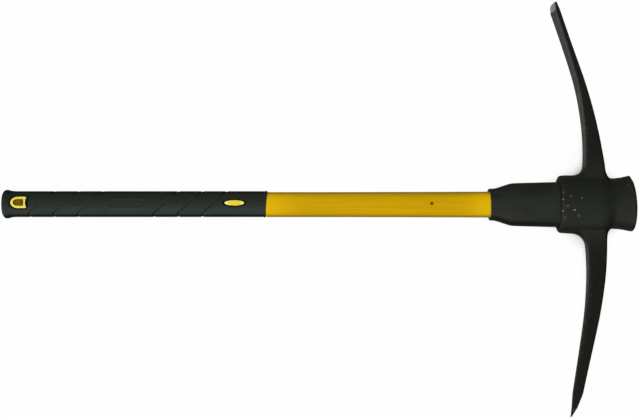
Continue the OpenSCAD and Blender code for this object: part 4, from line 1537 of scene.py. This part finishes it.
def white_floor(look):
    """Pale floor that is white to the camera and in reflections, keeps a faint lit shadow, and gets a painted
    shadow where the object covers it and under the handle.
    """
    material = bpy.data.materials.new("floor")
    f = NodeBench(material)
    # Painted shadow where the object covers the floor, read from ambient occlusion
    cover = f.node("ShaderNodeAmbientOcclusion", {"Distance": look.cover_reach}, samples=COVER_SAMPLES)
    open_floor = f.ramp(cover.outputs["AO"], look.cover_dark, look.cover_light)
    # Painted shadow in a strip under the handle, from the butt to the head
    aside = f.math("ABSOLUTE", f.math("SUBTRACT", f.axis("Y"), AXIS_Y))
    past_end = f.ramp(f.axis("X"), BUTT_X + look.cover_half / 2, BUTT_X)
    past_head = f.ramp(f.axis("X"), SLEEVE_MOUTH_X, CROWN_X)
    beside = f.largest(past_end, past_head, f.ramp(aside, look.cover_half / 2, look.cover_half))
    bright = f.times(seen_rays(f), open_floor, look.floor_white, beside)
    shaded = f.node("ShaderNodeBsdfDiffuse", {"Color": tint(WHITE, look.floor_grey)})
    white = f.node("ShaderNodeEmission")
    mixed = f.node("ShaderNodeMixShader", {0: bright, 1: shaded.outputs[0], 2: white.outputs[0]})
    f.node("ShaderNodeOutputMaterial", {"Surface": mixed.outputs[0]})
    return material


def even_light(look):
    """Even light from all round, which the camera and reflections see as plain white."""
    world = bpy.data.worlds.new("even_light")
    f = NodeBench(world)
    strength = f.largest(seen_rays(f), look.sky)
    sky = f.node("ShaderNodeBackground", {"Color": tint(WHITE), "Strength": strength})
    f.node("ShaderNodeOutputWorld", {"Surface": sky.outputs[0]})
    return world


def soft_sun(name, direction, spread_angle, power):
    """Wide, even light from one direction."""
    lamp = bpy.data.lights.new(name, "SUN")
    lamp.angle = spread_angle
    lamp.energy = power
    light = bpy.data.objects.new(name, lamp)
    light.rotation_euler = (-Vector(direction)).to_track_quat("-Z", "Y").to_euler()
    bpy.context.scene.collection.objects.link(light)


class PICKAXE_OT_stage(bpy.types.Operator):
    """Set up the floor, the soft light and the camera"""

    bl_idname = "pickaxe.stage"
    bl_label = "Stage"

    def execute(self, context):
        scene, look = context.scene, settings().stage
        bm = bmesh.new()
        bmesh.ops.create_grid(bm, x_segments=1, y_segments=1, size=look.floor / 2)
        # The seam between the floor's two triangles runs well away from the object
        bmesh.ops.translate(bm, vec=(look.floor / 5, 0.0, 0.0), verts=bm.verts[:])
        mesh = bpy.data.meshes.new("floor")
        bm.to_mesh(mesh)
        bm.free()
        mesh.materials.append(white_floor(look))
        floor = bpy.data.objects.new("floor", mesh)
        scene.collection.objects.link(floor)
        soft_sun("key", look.key_from, look.key_angle, look.key_power)
        scene.world = even_light(look)
        lens = bpy.data.cameras.new("camera")
        lens.lens = look.lens
        lens.sensor_width = look.sensor
        camera = bpy.data.objects.new("camera", lens)
        camera.location = (look.view_x, look.view_y, look.view_high)
        scene.collection.objects.link(camera)
        scene.camera = camera
        scene.view_settings.view_transform = "Standard"
        return {"FINISHED"}


class PICKAXE_PT_panel(bpy.types.Panel):
    """Sizes, colours and building steps of the pick axe"""

    bl_idname = "PICKAXE_PT_panel"
    bl_label = "Pick axe"
    bl_space_type = "VIEW_3D"
    bl_region_type = "UI"
    bl_category = "Pick axe"

    def draw(self, context):
        for group in PickAxeSettings.__annotations__:
            box = self.layout.box()
            box.label(text=group.capitalize())
            values = getattr(context.scene.pick_axe, group)
            for name in type(values).__annotations__:
                box.prop(values, name)
        for step in OPERATORS:
            self.layout.operator(step.bl_idname)


OPERATORS = (PICKAXE_OT_stage, PICKAXE_OT_head, PICKAXE_OT_sleeve, PICKAXE_OT_jacket, PICKAXE_OT_core,
             PICKAXE_OT_grip, PICKAXE_OT_eyelet, PICKAXE_OT_inlay)
CLASSES = (EyeSizes, ChiselArmSizes, PointArmSizes, SleeveSizes, ShaftSizes, GripSizes, TrimSizes,
           FinishColours, StageLook, PickAxeSettings, *OPERATORS, PICKAXE_PT_panel)


def register():
    for made in CLASSES:
        bpy.utils.register_class(made)
    bpy.types.Scene.pick_axe = PointerProperty(type=PickAxeSettings)


def unregister():
    del bpy.types.Scene.pick_axe
    for made in reversed(CLASSES):
        bpy.utils.unregister_class(made)


def main():
    register()
    bpy.ops.pickaxe.stage()
    bpy.ops.pickaxe.head()
    bpy.ops.pickaxe.sleeve()
    bpy.ops.pickaxe.jacket()
    bpy.ops.pickaxe.core()
    bpy.ops.pickaxe.grip()
    bpy.ops.pickaxe.eyelet()
    bpy.ops.pickaxe.inlay()


if __name__ == "__main__":
    main()
